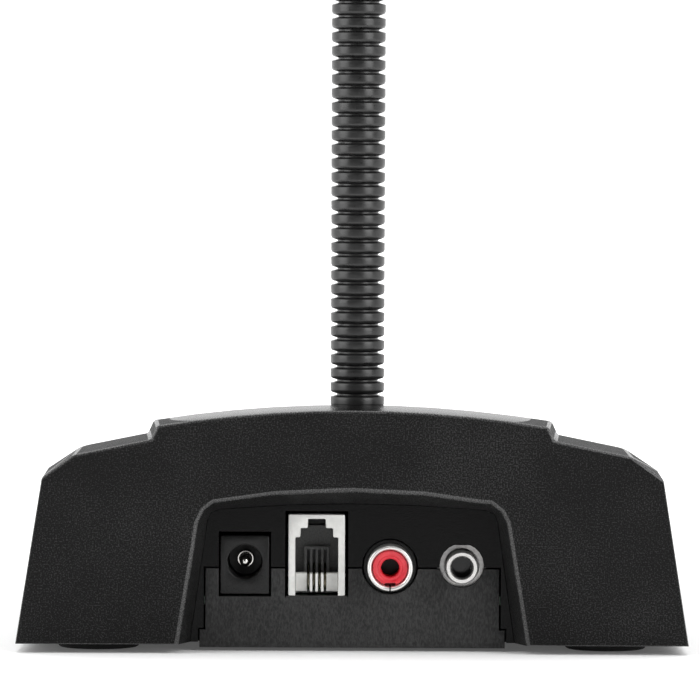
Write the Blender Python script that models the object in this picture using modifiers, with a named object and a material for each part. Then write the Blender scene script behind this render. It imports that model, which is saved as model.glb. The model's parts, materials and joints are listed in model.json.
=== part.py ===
"""Desk gooseneck microphone: a wedge base with sockets at its rear, a ribbed neck, a foam-covered head.

Metres, +Z up. The talker sits at -Y, the sockets face +Y, and the feet stand on Z = 0.
Heights called "above the rim" start at the lower edge of the top cover.
"""

import math

import bmesh
import bpy
from mathutils import Vector

# Base: overall
BASE_WIDTH = 0.1230  # across the rim at the rear
BASE_DEPTH = 0.1500
REAR_HEIGHT = 0.0429  # rim to crown
FRONT_HEIGHT = 0.0210  # rim to crown, where the nose starts to round down
STRIP_DEPTH = 0.0200  # level strip along the rear of the top
NOSE_DEPTH = 0.0090
WALL = 0.0024
CLEAR = 0.0003  # between neighbouring pieces
OVERRUN = 0.0010  # how far a cutter passes through

# Base: cross section, as (rear, front) insets from the rim's half width, and heights between its corners
FRONT_TAPER = 0.0030
SIDE_INSET = (0.0048, 0.0023)
CHAMFER_INSET = (0.0106, 0.0107)
STEP_INSET = (0.0247, 0.0150)
STEP_LEAN = 0.0011
STEP_HEIGHT = 0.0025
CHAMFER_FALL = 0.0041
SHOULDER_FALL = math.tan(math.radians(11.5))
REAR_ARCH = 0.0029
TOP_ARCH = 0.0010
ARCH_BLEND = 0.0150  # length over which the arch flattens past the strip
ARCH_STEPS = 5
NOSE_ROUNDING = ((0.42, 0.96, 0.0006), (0.80, 0.82, 0.0020), (1.0, 0.55, 0.0045))

# Feet and the screws that close the base: insets from the rim's side and from the nearer end
BOSS_HEIGHT = 0.00065
BOSS_RADIUS = 0.0090
FOOT_RADIUS = 0.0075
FOOT_SHOWS = 0.0010
FOOT_SUNK = 0.0005
RIM_Z = FOOT_SHOWS + BOSS_HEIGHT
REAR_FOOT_INSET = (0.0147, 0.0150)
FRONT_FOOT_INSET = (0.0175, 0.0170)
REAR_SCREW_INSET = (0.0147, 0.0350)
FRONT_SCREW_INSET = (0.0175, 0.0380)
SCREW_BOSS_RADIUS = 0.0050
SCREW_BOSS_TOP = 0.0050  # above the rim
POST_RADIUS = 0.0036
PLATE = 0.0022  # bottom cover
HEAD_RECESS = 0.0020  # how far the closing screws' heads sit below their bosses' tops
FOOT_EDGE = 0.0003

# Rear recess: half widths and heights over the main board, at its mouth and at its floor
RECESS_DEPTH = 0.0060
RECESS_WALL = 0.0018
RECESS_BELOW = 0.0050  # how far the recess and its tab's notch pass under the rim
RECESS_FLARE = 0.0008
CORNER_BULGE = 0.0004
MOUTH = {"foot": 0.0319, "knee": (0.0283, 0.0140), "corner": (0.0253, 0.0177), "crown": 0.0199}
FLOOR = {"foot": 0.0296, "knee": (0.0265, 0.0140), "corner": (0.0245, 0.0160), "crown": 0.0171}
PANEL_TAB_HALF = 0.02695
PANEL_TAB_RISE = 0.00525  # over the board
PANEL_TAB_FOOT_HALF = 0.0280
PANEL_TAB_FOOT_TOP = 0.0023
PANEL_TAB_LIP = 0.0010

# Main board and the sockets on it: places across the base, and heights of their axes over the board
BOARD = 0.0016
MAIN_BOARD_TOP = 0.0083  # above the rim
MAIN_BOARD_HALF = 0.0380
MAIN_BOARD_REACH = 0.0530  # from the base's rear to the board's front edge
STANDOFF_INSET = 0.0050
REAR_STANDOFF_INSET = 0.0150
STANDOFF_RADIUS = 0.0030
POWER_AT = (0.0197, 0.0064)
POWER_SIZE = (0.0090, 0.0130, 0.0107)
POWER_SET_BACK = 0.0002
POWER_BORE = 0.0032
POWER_DEPTH = 0.0095
POWER_PIN = 0.00105
PIN_ROOT = 0.0020  # how far the pin runs on behind the bore
LINK_AT = 0.00655
LINK_SIZE = (0.01035, 0.0140, 0.0149)
LINK_PROUD = 0.0005
LINK_CAVITY = 0.0122  # depth
LINK_STEPS = ((0.00395, 0.0009, 0.0107), (0.0030, 0.0107, 0.0124), (0.00165, 0.0124, 0.0141))
LINK_CONTACTS = 4
LINK_PITCH = 0.00102
LINK_COMB = (0.0044, 0.0024, 0.0042)
LINK_COMB_Z = 0.0044
LINK_WIRE = (0.00045, 0.0072)  # thickness and length
LINK_WIRE_Z = 0.0056
LINK_WIRE_FALL = math.radians(26)
PHONO_AT = (-0.0069, 0.0057)
PHONO_SHELL = 0.00415
PHONO_WALL = 0.0008
PHONO_REACH = 0.0050
PHONO_BORE = 0.0017
PHONO_HOLE = 0.00515
PHONO_FLANGE = 0.0010
PHONO_CORE_DROP = 0.0008
PHONO_DEPTH = 0.0070
PHONO_CONTACT_WALL = 0.0004
PHONO_BODY = (0.0094, 0.0090, 0.0104)
MINI_AT = (-0.02005, 0.0057)
MINI_BUSHING = 0.0030
MINI_REACH = 0.0030
MINI_BORE = 0.0018
MINI_LEAD_IN = 0.0004
MINI_HOLE = 0.00405
MINI_HOLE_LIFT = 0.0002
MINI_GRIP = 0.0035  # how far the bushing reaches into the body
MINI_DEPTH = 0.0125
MINI_BODY = (0.0090, 0.0120, 0.0090)
SOCKET_LIFT = 0.0005  # between a socket's body and the board

# Ballast
BALLAST_WIDTH = 0.0720
BALLAST_THICK = 0.0060
BALLAST_GAP = 0.0060  # to the nose in front and to the main board behind
BALLAST_SCREW_INSET = 0.0100
BALLAST_BOSS = (0.0040, 0.0035)  # radius and height over the bottom cover
BALLAST_HEAD_SINK = 0.0006

# Controls: the sloped panel's own frame has x across, y up the slope and z out of it
PANEL_GAP = 0.0270  # from the level strip to the panel, along the base
PANEL_SIZE = (0.0660, 0.48 * BASE_DEPTH)
PANEL_CORNER = 0.0040
PANEL_THICK = 0.0010
PANEL_SINK = 0.0013
TALK_AT = (-0.0095, -0.0180)
TALK_SIZE = (0.0340, 0.0220, 0.0050)  # width, length, corner radius
CHIME_AT = (-0.0190, 0.0160)
CHIME_SIZE = (0.0100, 0.0100, 0.0050)
TALK_SWITCH = (0.0025, 0.0120)  # stem radius and side
CHIME_SWITCH = (0.0018, 0.0080)
VOLUME_AT = (0.0210, -0.0180)
LIGHT_AT = (0.0, 0.0240)
BUTTON_PROUD = 0.0026
BUTTON_TRAVEL = 0.0015
BUTTON_FLANGE = 0.0015
BUTTON_FLANGE_THICK = 0.0012
BUTTON_EDGE = 0.0008
STEM_FOOT = 0.0018  # from the pressed stem's end to the switch's underside
SWITCH_FLOOR = 0.0015
CONTROL_BOARD = (PANEL_SIZE[0] - 0.0040, PANEL_SIZE[1] - 0.0120)
CONTROL_BOARD_DROP = 0.0126  # from the crown to the board's top
CONTROL_SCREWS = ((0.0270, 0.0), (-0.0270, 0.0))
CONTROL_POST_RADIUS = 0.0030
KNOB_RADIUS = 0.0080
KNOB_HEIGHT = 0.0075
KNOB_GAP = 0.0007  # from the panel up to the knob
KNOB_CROWN = 0.0015
KNOB_EDGE = 0.0008
SHAFT_RADIUS = 0.0030
SHAFT_EDGE = 0.0004
POT_SIDE = 0.0160
POT_HEIGHT = 0.0060
LIGHT_RADIUS = 0.0015
LIGHT_DOME = 0.0008
LIGHT_RIM = (0.0010, 0.0020)  # width and height

# Neck
NECK_X = -0.0008
NECK_INSET = 0.0255  # from the base's rear
NECK_RADIUS = 0.0050
GROOVE_RADIUS = 0.0038
RIB_PITCH = 0.0026
RIB_BAND = 0.0014
RIBS_PER_SEGMENT = 7
SEGMENTS = 15
ROOT_RIBS = 4
NECK_BORE = 0.0013
SOCKET_RADIUS = 0.0030
SOCKET_DEPTH = 0.0040
SPIGOT_RADIUS = 0.0022
SPIGOT_REACH = 0.0020  # past the joint's gap
NECK_SIDES = 10
NECK_BOSS_RADIUS = 0.0090
NECK_BOSS_DROP = 0.0080  # from the strip's crown to the boss's underside
COUNTERBORE_DROP = 0.0050
FERRULE_FLANGE = 0.0015
FERRULE_SHANK = 0.0040
FERRULE_LENGTH = 0.0140
FERRULE_SPIGOT = 0.0070
FERRULE_EDGE = 0.0005
NUT_ACROSS_FLATS = 0.0130
NUT_HEIGHT = 0.0050

# Head
HOUSING_RADIUS = 0.0075
HOUSING_WALL = 0.0013
HOUSING_COLLAR = 0.0030
HOUSING_TAPER = 0.0080
HOUSING_LENGTH = 0.0400
HOUSING_WELL = 0.0240  # depth of the hollow that holds the capsule
HOUSING_BORE = HOUSING_RADIUS - HOUSING_WALL
CAPSULE_RADIUS = 0.00485
CAPSULE_HEIGHT = 0.0060
CAPSULE_EDGE = 0.0003
CAPSULE_GAP = 0.00025
RING_HEIGHT = 0.0075
RING_LIP = (0.0012, 0.0010)  # width and height
RING_DROP = 0.0090  # below the grille's skirt
GRILLE_HEIGHT = 0.0100
GRILLE_WALL = 0.0009
GRILLE_SKIRT = 0.0030
GRILLE_DOME = (0.0060, 0.0055)  # outside and inside
FOAM_RADIUS = 0.0150
FOAM_LENGTH = 0.0480
FOAM_START = 0.0060  # above the top of the housing's taper
FOAM_DOME = 0.0150
FOAM_TUCK = ((0.0, 0.0100), (0.0012, 0.0040), (0.0050, 0.0))  # inset and height round the lower edge

# Values that follow from those above
RIM_HALF = (BASE_WIDTH / 2, BASE_WIDTH / 2 - FRONT_TAPER)
REAR_Y = BASE_DEPTH / 2
STRIP_Y = REAR_Y - STRIP_DEPTH
NOSE_Y = NOSE_DEPTH - BASE_DEPTH / 2
SLOPE = math.atan((REAR_HEIGHT - FRONT_HEIGHT) / (STRIP_Y - NOSE_Y))
FLOOR_Y = REAR_Y - RECESS_DEPTH
NECK_Y = REAR_Y - NECK_INSET
PANEL_Y = STRIP_Y - PANEL_GAP - PANEL_SIZE[1] / 2
REAR_FOOT = (RIM_HALF[0] - REAR_FOOT_INSET[0], REAR_Y - REAR_FOOT_INSET[1])
FRONT_FOOT = (RIM_HALF[0] - FRONT_FOOT_INSET[0], FRONT_FOOT_INSET[1] - REAR_Y)
REAR_SCREW = (RIM_HALF[0] - REAR_SCREW_INSET[0], REAR_Y - REAR_SCREW_INSET[1])
FRONT_SCREW = (RIM_HALF[0] - FRONT_SCREW_INSET[0], FRONT_SCREW_INSET[1] - REAR_Y)
MAIN_BOARD_FRONT = REAR_Y - MAIN_BOARD_REACH
STANDOFFS = [
    (side * (MAIN_BOARD_HALF - STANDOFF_INSET), y)
    for y in (MAIN_BOARD_FRONT + STANDOFF_INSET, REAR_Y - REAR_STANDOFF_INSET)
    for side in (1, -1)
]
BOARD_SCREWS = STANDOFFS[1:3]
BOARD_TOP_Z = RIM_Z + MAIN_BOARD_TOP
PANEL_TAB_TOP = MAIN_BOARD_TOP + PANEL_TAB_RISE
BALLAST_FRONT = NOSE_Y + BALLAST_GAP
BALLAST_REAR = MAIN_BOARD_FRONT - BALLAST_GAP
BALLAST_SCREWS = [
    (0.0, BALLAST_FRONT + BALLAST_SCREW_INSET),
    (0.0, BALLAST_REAR - BALLAST_SCREW_INSET),
]
TOP_Z = RIM_Z + REAR_HEIGHT
RIB_GAP = RIB_PITCH - RIB_BAND
SEGMENT = RIBS_PER_SEGMENT * RIB_PITCH
FERRULE_Z = TOP_Z - COUNTERBORE_DROP + CLEAR
ROOT_Z = FERRULE_Z + FERRULE_FLANGE + CLEAR - RIB_GAP / 2
FIRST_JOINT_Z = ROOT_Z + ROOT_RIBS * RIB_PITCH
HEAD_Z = FIRST_JOINT_Z + SEGMENTS * SEGMENT


def new_collection(name, shown):
    group = bpy.data.collections.new(name)
    group.hide_render = not shown
    bpy.context.scene.collection.children.link(group)
    return group


def clear_scene():
    for item in list(bpy.data.objects):
        bpy.data.objects.remove(item, do_unlink=True)


clear_scene()
PARTS = new_collection("gooseneck_microphone", True)
CUTTERS = new_collection("cutters", False)


def material(name, colour, roughness, metallic=0.0):
    look = bpy.data.materials.new(name)
    look.use_nodes = True
    shader = look.node_tree.nodes["Principled BSDF"]
    shader.inputs["Base Color"].default_value = (*colour, 1.0)
    shader.inputs["Roughness"].default_value = roughness
    shader.inputs["Metallic"].default_value = metallic
    return look


CASE_PLASTIC = material("case_plastic", (0.022, 0.022, 0.024), 0.55)
PANEL_PLASTIC = material("panel_plastic", (0.040, 0.040, 0.042), 0.50)
NECK_PLASTIC = material("neck_plastic", (0.012, 0.012, 0.013), 0.35)
RUBBER = material("rubber", (0.020, 0.020, 0.020), 0.85)
FOAM = material("foam", (0.010, 0.010, 0.010), 0.95)
NICKEL = material("nickel", (0.72, 0.70, 0.66), 0.22, 1.0)
STEEL = material("steel", (0.50, 0.50, 0.50), 0.35, 1.0)
BRASS = material("brass", (0.80, 0.60, 0.28), 0.28, 1.0)
CIRCUIT_BOARD = material("circuit_board", (0.02, 0.16, 0.06), 0.45)
SOCKET_BLACK = material("socket_black", (0.012, 0.012, 0.012), 0.40)
SOCKET_GREY = material("socket_grey", (0.70, 0.70, 0.68), 0.45)
SOCKET_RED = material("socket_red", (0.55, 0.02, 0.02), 0.35)
BUTTON_GREY = material("button_grey", (0.30, 0.31, 0.32), 0.45)
LENS_GREEN = material("lens_green", (0.05, 0.55, 0.12), 0.15)


def place(name, mesh, at=(0.0, 0.0, 0.0), turn=(0.0, 0.0, 0.0), look=None, parent=None):
    """An object for this mesh: a part if it has a look, and a cutter if it has none."""
    item = bpy.data.objects.new(name, mesh)
    item.location = at
    item.rotation_euler = turn
    item.parent = parent
    if look:
        mesh.materials.append(look)
        PARTS.objects.link(item)
        return item
    item.hide_render = True
    item.display_type = "WIRE"
    CUTTERS.objects.link(item)
    return item


def frame(name, at, turn=(0.0, 0.0, 0.0), parent=None):
    empty = bpy.data.objects.new(name, None)
    empty.location = at
    empty.rotation_euler = turn
    empty.parent = parent
    PARTS.objects.link(empty)
    return empty


def combine(target, tool, operation="DIFFERENCE"):
    step = target.modifiers.new(f"{operation.lower()}_{tool.name}", "BOOLEAN")
    step.operation = operation
    step.object = tool
    return target


def mesh_from(name, bm):
    mesh = bpy.data.meshes.new(name)
    bm.to_mesh(mesh)
    bm.free()
    return mesh


def box(size, low_corner):
    """A box mesh of this size whose lowest corner is at low_corner."""
    bm = bmesh.new()
    bmesh.ops.create_cube(bm, size=1.0)
    bmesh.ops.scale(bm, vec=Vector(size), verts=bm.verts)
    bmesh.ops.translate(bm, vec=Vector(low_corner) + Vector(size) / 2, verts=bm.verts)
    return mesh_from("box", bm)


def rod(radius, bottom, top, sides=16):
    """A cylinder mesh along Z."""
    bm = bmesh.new()
    bmesh.ops.create_cone(
        bm, cap_ends=True, segments=sides, radius1=radius, radius2=radius, depth=top - bottom
    )
    bmesh.ops.translate(bm, vec=(0.0, 0.0, (bottom + top) / 2), verts=bm.verts)
    return mesh_from("rod", bm)


def loft(rings):
    """A closed mesh through rings that have equally many points, capped at both ends."""
    bm = bmesh.new()
    rows = [[bm.verts.new(point) for point in ring] for ring in rings]
    count = len(rows[0])
    for row, following in zip(rows, rows[1:]):
        for i in range(count):
            j = (i + 1) % count
            bm.faces.new((row[i], row[j], following[j], following[i]))
    bm.faces.new(rows[0])
    bm.faces.new(rows[-1])
    bmesh.ops.recalc_face_normals(bm, faces=bm.faces)
    return mesh_from("loft", bm)


def turned_mesh(profile):
    """The wire that a Screw modifier turns. Its (radius, height) points run down the outer side.

    A profile that starts on the axis makes a solid, and any other closes on itself as a ring.
    """
    bm = bmesh.new()
    points = [bm.verts.new((radius, 0.0, height)) for radius, height in profile]
    for first, second in zip(points, points[1:]):
        bm.edges.new((first, second))
    if profile[0][0] > 0:
        bm.edges.new((points[-1], points[0]))
    return mesh_from("profile", bm)


def turned(name, profile, sides=16, **where):
    item = place(name, turned_mesh(profile), **where)
    screw = item.modifiers.new("turn", "SCREW")
    screw.steps = sides
    screw.render_steps = sides
    screw.use_merge_vertices = True
    screw.merge_threshold = 0.00001
    return item


def flat(outline, thickness):
    """A flat plate mesh: the outline lies in XY, and a face lies half the thickness to each side of it."""
    curve = bpy.data.curves.new("outline", "CURVE")
    curve.dimensions = "2D"
    curve.fill_mode = "BOTH"
    curve.extrude = thickness / 2
    spline = curve.splines.new("POLY")
    spline.points.add(len(outline) - 1)
    for point, (x, y) in zip(spline.points, outline):
        point.co = (x, y, 0.0, 1.0)
    spline.use_cyclic_u = True
    guide = bpy.data.objects.new("outline", curve)
    bpy.context.scene.collection.objects.link(guide)
    bpy.context.view_layer.update()
    evaluated = guide.evaluated_get(bpy.context.evaluated_depsgraph_get())
    mesh = bpy.data.meshes.new_from_object(evaluated)
    bpy.data.objects.remove(guide, do_unlink=True)
    bm = bmesh.new()
    bm.from_mesh(mesh)
    bmesh.ops.remove_doubles(bm, verts=bm.verts, dist=0.000001)
    bmesh.ops.dissolve_limit(bm, angle_limit=0.001, verts=bm.verts, edges=bm.edges)
    bm.to_mesh(mesh)
    bm.free()
    return mesh


def rounded_rectangle(width, length, radius, steps=3):
    centres = [
        (width / 2 - radius, length / 2 - radius),
        (radius - width / 2, length / 2 - radius),
        (radius - width / 2, radius - length / 2),
        (width / 2 - radius, radius - length / 2),
    ]
    outline = []
    for corner, (x, y) in enumerate(centres):
        for step in range(steps + 1):
            angle = math.radians(90 * (corner + step / steps))
            point = (x + radius * math.cos(angle), y + radius * math.sin(angle))
            if not outline or math.dist(point, outline[-1]) > 0.00001:
                outline.append(point)
    if math.dist(outline[0], outline[-1]) < 0.00001:
        outline.pop()
    return outline


def mix(pair, share):
    """Between the pair's first value at 0 and its second at 1."""
    return pair[0] + (pair[1] - pair[0]) * share


def crown_at(y):
    """Height of the top's centre line above the rim."""
    return mix((REAR_HEIGHT, FRONT_HEIGHT), max(0.0, (STRIP_Y - y) / (STRIP_Y - NOSE_Y)))


def corners_at(y):
    """The section at y: half widths of rim, side, chamfer and step, the last three's heights, the arch."""
    share = (REAR_Y - y) / BASE_DEPTH
    arch = mix((REAR_ARCH, TOP_ARCH), min(1.0, max(0.0, (STRIP_Y - y) / ARCH_BLEND)))
    rim = mix(RIM_HALF, share)
    insets = (mix(pair, share) for pair in (SIDE_INSET, CHAMFER_INSET, STEP_INSET))
    halves = [rim, *(rim - inset for inset in insets)]
    foot_z = crown_at(y) - arch - STEP_HEIGHT
    chamfer_z = foot_z - (halves[2] - halves[3]) * SHOULDER_FALL
    return halves, (chamfer_z - CHAMFER_FALL, chamfer_z, foot_z), arch


def inner_half_at(y, height):
    """Half the room between the side walls at this height above the rim."""
    (rim, side, _, _), (side_z, _, _), _ = corners_at(y)
    return rim - (rim - side) * height / side_z - WALL


def section(y, inset=0.0, squash=1.0, narrow=0.0, skirt=0.0):
    """The base's cross section at y, as a ring of points, with every wall moved in by inset."""
    halves, (side_z, chamfer_z, foot_z), arch = corners_at(y)
    rim, side, chamfer, foot = (half - narrow for half in halves)
    drift = skirt * (rim - side) / side_z
    half = [
        (rim - inset + drift, -skirt),
        (side - inset, side_z * squash - inset),
        (chamfer - inset, chamfer_z * squash - inset),
        (foot - inset, foot_z * squash - inset),
    ]
    top = foot - STEP_LEAN - inset
    for step in range(ARCH_STEPS + 1):
        across = 1 - step / ARCH_STEPS
        half.append((top * across, (crown_at(y) - arch * across**2) * squash - inset))
    ring = half + [(-x, z) for x, z in reversed(half[:-1])]
    return [Vector((x, y, RIM_Z + z)) for x, z in ring]


def nose_sections(inset):
    """The cross sections where the front rounds down: shares of depth and height, and a narrowing."""
    front = -BASE_DEPTH / 2
    rings = []
    for depth, squash, narrow in NOSE_ROUNDING[:1] if inset else NOSE_ROUNDING:
        y = NOSE_Y + (front - NOSE_Y) * depth + inset / 4
        rings.append(section(y, inset, squash, narrow, inset and WALL))
    return rings


def recess_ring(y, grow=0.0):
    """The rear recess's outline at y: its walls slant from the mouth to the floor."""
    share = (REAR_Y - y) / RECESS_DEPTH
    foot = mix((MOUTH["foot"], FLOOR["foot"]), share) + grow
    rise = MAIN_BOARD_TOP + grow
    knee, corner = (
        (
            mix((MOUTH[key][0], FLOOR[key][0]), share) + grow,
            mix((MOUTH[key][1], FLOOR[key][1]), share) + rise,
        )
        for key in ("knee", "corner")
    )
    crown = mix((MOUTH["crown"], FLOOR["crown"]), share) + rise
    half = [(foot + RECESS_FLARE, -RECESS_BELOW), knee, rounded_middle(knee, corner, grow), corner]
    half += [(corner[0] * 0.5, crown - (crown - corner[1]) * 0.25), (0.0, crown)]
    ring = half + [(-x, z) for x, z in reversed(half[:-1])]
    return [Vector((x, y, RIM_Z + z)) for x, z in ring]


def rounded_middle(first, second, grow):
    """The point halfway between two corners, pushed out a little so that the bend is round."""
    bulge = CORNER_BULGE + grow / 5
    return tuple((a + b) / 2 + bulge for a, b in zip(first, second))


def four_places(rear, front):
    return [(rear[0], rear[1]), (-rear[0], rear[1]), (front[0], front[1]), (-front[0], front[1])]


BASE_SCREWS = four_places(REAR_SCREW, FRONT_SCREW)
FEET = four_places(REAR_FOOT, FRONT_FOOT)
NECK_FOOT = (NECK_X, NECK_Y, 0.0)
PANEL_CENTRE = (0.0, PANEL_Y, RIM_Z + crown_at(PANEL_Y))
PANEL_FRAME = frame("control_panel_frame", PANEL_CENTRE, (SLOPE, 0.0, 0.0))
TURN_UP = (math.radians(90), 0.0, 0.0)  # a plate drawn in XY then stands upright
TURN_BACK = (math.radians(-90), 0.0, 0.0)  # local +Z then points out of the sockets


def board_posts():
    """Posts under the sloped top that carry the control board."""
    posts = []
    for n, (x, y) in enumerate(CONTROL_SCREWS, 1):
        post = rod(CONTROL_POST_RADIUS, CLEAR - CONTROL_BOARD_DROP, 0.0)
        posts.append(place(f"control_post_{n}", post, (x, y, 0.0), parent=PANEL_FRAME))
    return posts


def closing_posts():
    """Posts that the base's closing screws bite into."""
    bottom = RIM_Z + SCREW_BOSS_TOP + CLEAR
    return [
        place(f"closing_post_{n}", rod(POST_RADIUS, bottom, TOP_Z), (x, y, 0.0))
        for n, (x, y) in enumerate(BASE_SCREWS, 1)
    ]


def cavity_cutter():
    """The room inside the top cover, less its posts, the neck's boss and the walls of the recess."""
    level = [REAR_Y - WALL, STRIP_Y, STRIP_Y - ARCH_BLEND, NOSE_Y]
    rings = [section(y, WALL, skirt=WALL) for y in level] + nose_sections(WALL)
    cavity = place("cavity", loft(rings))
    walls = [FLOOR_Y - RECESS_WALL, REAR_Y + OVERRUN]
    block = place("recess_walls", loft([recess_ring(y, RECESS_WALL) for y in walls]))
    boss = place("neck_boss", rod(NECK_BOSS_RADIUS, TOP_Z - NECK_BOSS_DROP, TOP_Z), NECK_FOOT)
    for solid in [block, boss, *closing_posts(), *board_posts()]:
        combine(cavity, solid)
    return cavity


def socket_holes():
    """Holes that the sockets look through, shared by the recess floor and the bottom cover's tab."""
    y = FLOOR_Y - 2 * RECESS_WALL
    deep = 3 * RECESS_WALL
    low = BOARD_TOP_Z
    power = (POWER_SIZE[0] + 2 * CLEAR, deep, POWER_SIZE[2] + 4 * CLEAR)
    power_low = (POWER_AT[0] - power[0] / 2, y, low + CLEAR / 3)
    link = (LINK_SIZE[0] + 4 * CLEAR, deep, LINK_SIZE[2] + 3 * CLEAR)
    link_low = (LINK_AT - link[0] / 2, y, low)
    phono = (PHONO_AT[0], y, BOARD_TOP_Z + PHONO_AT[1])
    mini = (MINI_AT[0], y, BOARD_TOP_Z + MINI_AT[1] + MINI_HOLE_LIFT)
    return [
        place("power_hole", box(power, power_low)),
        place("link_hole", box(link, link_low)),
        place("phono_hole", rod(PHONO_HOLE, 0.0, deep, 24), phono, TURN_BACK),
        place("mini_hole", rod(MINI_HOLE, 0.0, deep, 20), mini, TURN_BACK),
    ]


def control_holes():
    """Openings for the buttons, the knob's shaft and the light, through cover and panel."""
    holes = []
    for name, size, centre in (("talk", TALK_SIZE, TALK_AT), ("chime", CHIME_SIZE, CHIME_AT)):
        outline = rounded_rectangle(size[0] + 2 * CLEAR, size[1] + 2 * CLEAR, size[2] + CLEAR)
        plate = flat(outline, 4 * WALL)
        holes.append(place(f"{name}_hole", plate, (*centre, 0.0), parent=PANEL_FRAME))
    round_holes = (
        ("shaft", SHAFT_RADIUS + 2 * CLEAR, VOLUME_AT),
        ("light", LIGHT_RADIUS + CLEAR, LIGHT_AT),
    )
    for name, radius, centre in round_holes:
        mesh = rod(radius, -2 * WALL, 2 * WALL, 12)
        holes.append(place(f"{name}_hole", mesh, (*centre, 0.0), parent=PANEL_FRAME))
    return holes


def tab_gaps():
    """The notch in the recess floor that the bottom cover's tab fills."""
    y = FLOOR_Y - RECESS_WALL - OVERRUN
    deep = RECESS_WALL + 2 * OVERRUN
    low = RIM_Z - RECESS_BELOW - OVERRUN
    gaps = []
    for name, half, top in (
        ("tab_gap", PANEL_TAB_HALF, PANEL_TAB_TOP),
        ("tab_foot_gap", PANEL_TAB_FOOT_HALF, PANEL_TAB_FOOT_TOP),
    ):
        half = half + CLEAR
        size = (2 * half, deep, RIM_Z + top + CLEAR - low)
        gaps.append(place(name, box(size, (-half, y, low))))
    return gaps


def screw_mesh(shank_radius, shank, head_radius, head):
    """A cross-head screw standing on its head: the head is under Z = 0, and the shank is over it."""
    profile = [
        (0.0, shank),
        (shank_radius * POINT_SHARE, shank),
        (shank_radius, shank - shank_radius),
        (shank_radius, 0.0),
        (head_radius, 0.0),
        (head_radius, -head * HEAD_STRAIGHT),
        (head_radius * HEAD_TOP_SHARE, -head),
        (0.0, -head),
    ]
    blank = turned("screw_blank", profile, 8)
    long, wide = head_radius * SLOT_LENGTH_SHARE, head_radius * SLOT_WIDTH_SHARE
    for name, (x, y) in (("slot", (long, wide)), ("cross_slot", (wide, long))):
        combine(blank, place(name, box((x, y, head), (-x / 2, -y / 2, -1.5 * head))))
    bpy.context.view_layer.update()
    evaluated = blank.evaluated_get(bpy.context.evaluated_depsgraph_get())
    mesh = bpy.data.meshes.new_from_object(evaluated)
    slots = [step.object for step in blank.modifiers if step.type == "BOOLEAN"]
    for item in [blank, *slots]:
        bpy.data.objects.remove(item, do_unlink=True)
    mesh.materials.clear()
    return mesh


POINT_SHARE = 0.6
HEAD_STRAIGHT = 0.6
HEAD_TOP_SHARE = 0.75
SLOT_LENGTH_SHARE = 1.1
SLOT_WIDTH_SHARE = 0.28
CLOSING_SCREW = {"shank_radius": 0.00145, "shank": 0.0100, "head_radius": 0.0029, "head": 0.0020}
SMALL_SCREW = {"shank_radius": 0.00125, "shank": 0.0055, "head_radius": 0.0026, "head": 0.0016}
SMALL_BORE = SMALL_SCREW["shank_radius"] + CLEAR
CLOSING_HEAD_Z = RIM_Z + SCREW_BOSS_TOP - HEAD_RECESS  # seat of the closing screws' heads
BALLAST_TOP_Z = RIM_Z + PLATE + CLEAR + BALLAST_THICK
BALLAST_SEAT_Z = BALLAST_TOP_Z + CLEAR - SMALL_SCREW["head"] - BALLAST_HEAD_SINK


def open_neck(cover):
    """The ferrule's bore through the top, with a wider seat that the neck stands in."""
    above = TOP_Z + OVERRUN
    bore = rod(FERRULE_SHANK + CLEAR, TOP_Z - 2 * NECK_BOSS_DROP, above, 20)
    seat = rod(NECK_RADIUS + CLEAR, TOP_Z - COUNTERBORE_DROP, above, 20)
    combine(cover, place("neck_bore", bore, NECK_FOOT))
    combine(cover, place("neck_seat", seat, NECK_FOOT))


def drill_posts(cover):
    """Pilot holes for the closing screws and the control board's screws."""
    pilot = CLOSING_SCREW["shank_radius"] + CLEAR
    top = CLOSING_HEAD_Z + CLOSING_SCREW["shank"] + OVERRUN
    for n, (x, y) in enumerate(BASE_SCREWS, 1):
        combine(cover, place(f"closing_pilot_{n}", rod(pilot, RIM_Z, top, 10), (x, y, 0.0)))
    low = -CONTROL_BOARD_DROP
    for n, (x, y) in enumerate(CONTROL_SCREWS, 1):
        mesh = rod(SMALL_BORE, low - OVERRUN, low + SMALL_SCREW["shank"] - BOARD + OVERRUN, 10)
        combine(cover, place(f"control_pilot_{n}", mesh, (x, y, 0.0), parent=PANEL_FRAME))


def top_cover():
    level = [REAR_Y, STRIP_Y, STRIP_Y - ARCH_BLEND, NOSE_Y]
    rings = [section(y) for y in level] + nose_sections(0.0)
    cover = place("top_cover", loft(rings), look=CASE_PLASTIC)
    combine(cover, cavity_cutter())
    mouth = [FLOOR_Y, REAR_Y + OVERRUN]
    combine(cover, place("recess", loft([recess_ring(y) for y in mouth])))
    for gap in tab_gaps():
        combine(cover, gap)
    width, length = (side + 2 * CLEAR for side in PANEL_SIZE)
    outline = rounded_rectangle(width, length, PANEL_CORNER + CLEAR)
    combine(cover, place("panel_pocket", flat(outline, 2 * PANEL_SINK), parent=PANEL_FRAME))
    open_neck(cover)
    drill_posts(cover)
    return cover


def bottom_outline():
    """The bottom cover follows the rim, with a notch at the recess and a tongue for the tab."""
    sides = [inner_half_at(y, PLATE) - CLEAR for y in (REAR_Y, NOSE_Y)]
    rear = REAR_Y - WALL - CLEAR
    front = NOSE_Y - 0.3 * NOSE_DEPTH
    notch = MOUTH["foot"] + RECESS_WALL + OVERRUN + CLEAR
    floor = FLOOR_Y - RECESS_WALL - CLEAR
    tongue = PANEL_TAB_FOOT_HALF - 2 * CLEAR
    half = [
        (tongue, FLOOR_Y - RECESS_WALL / 2),
        (tongue, floor),
        (notch, floor),
        (notch, rear),
        (sides[0], rear),
        (sides[1], NOSE_Y),
        (sides[1] - NOSE_DEPTH / 2, front),
    ]
    return half + [(-x, y) for x, y in reversed(half)]


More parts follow.
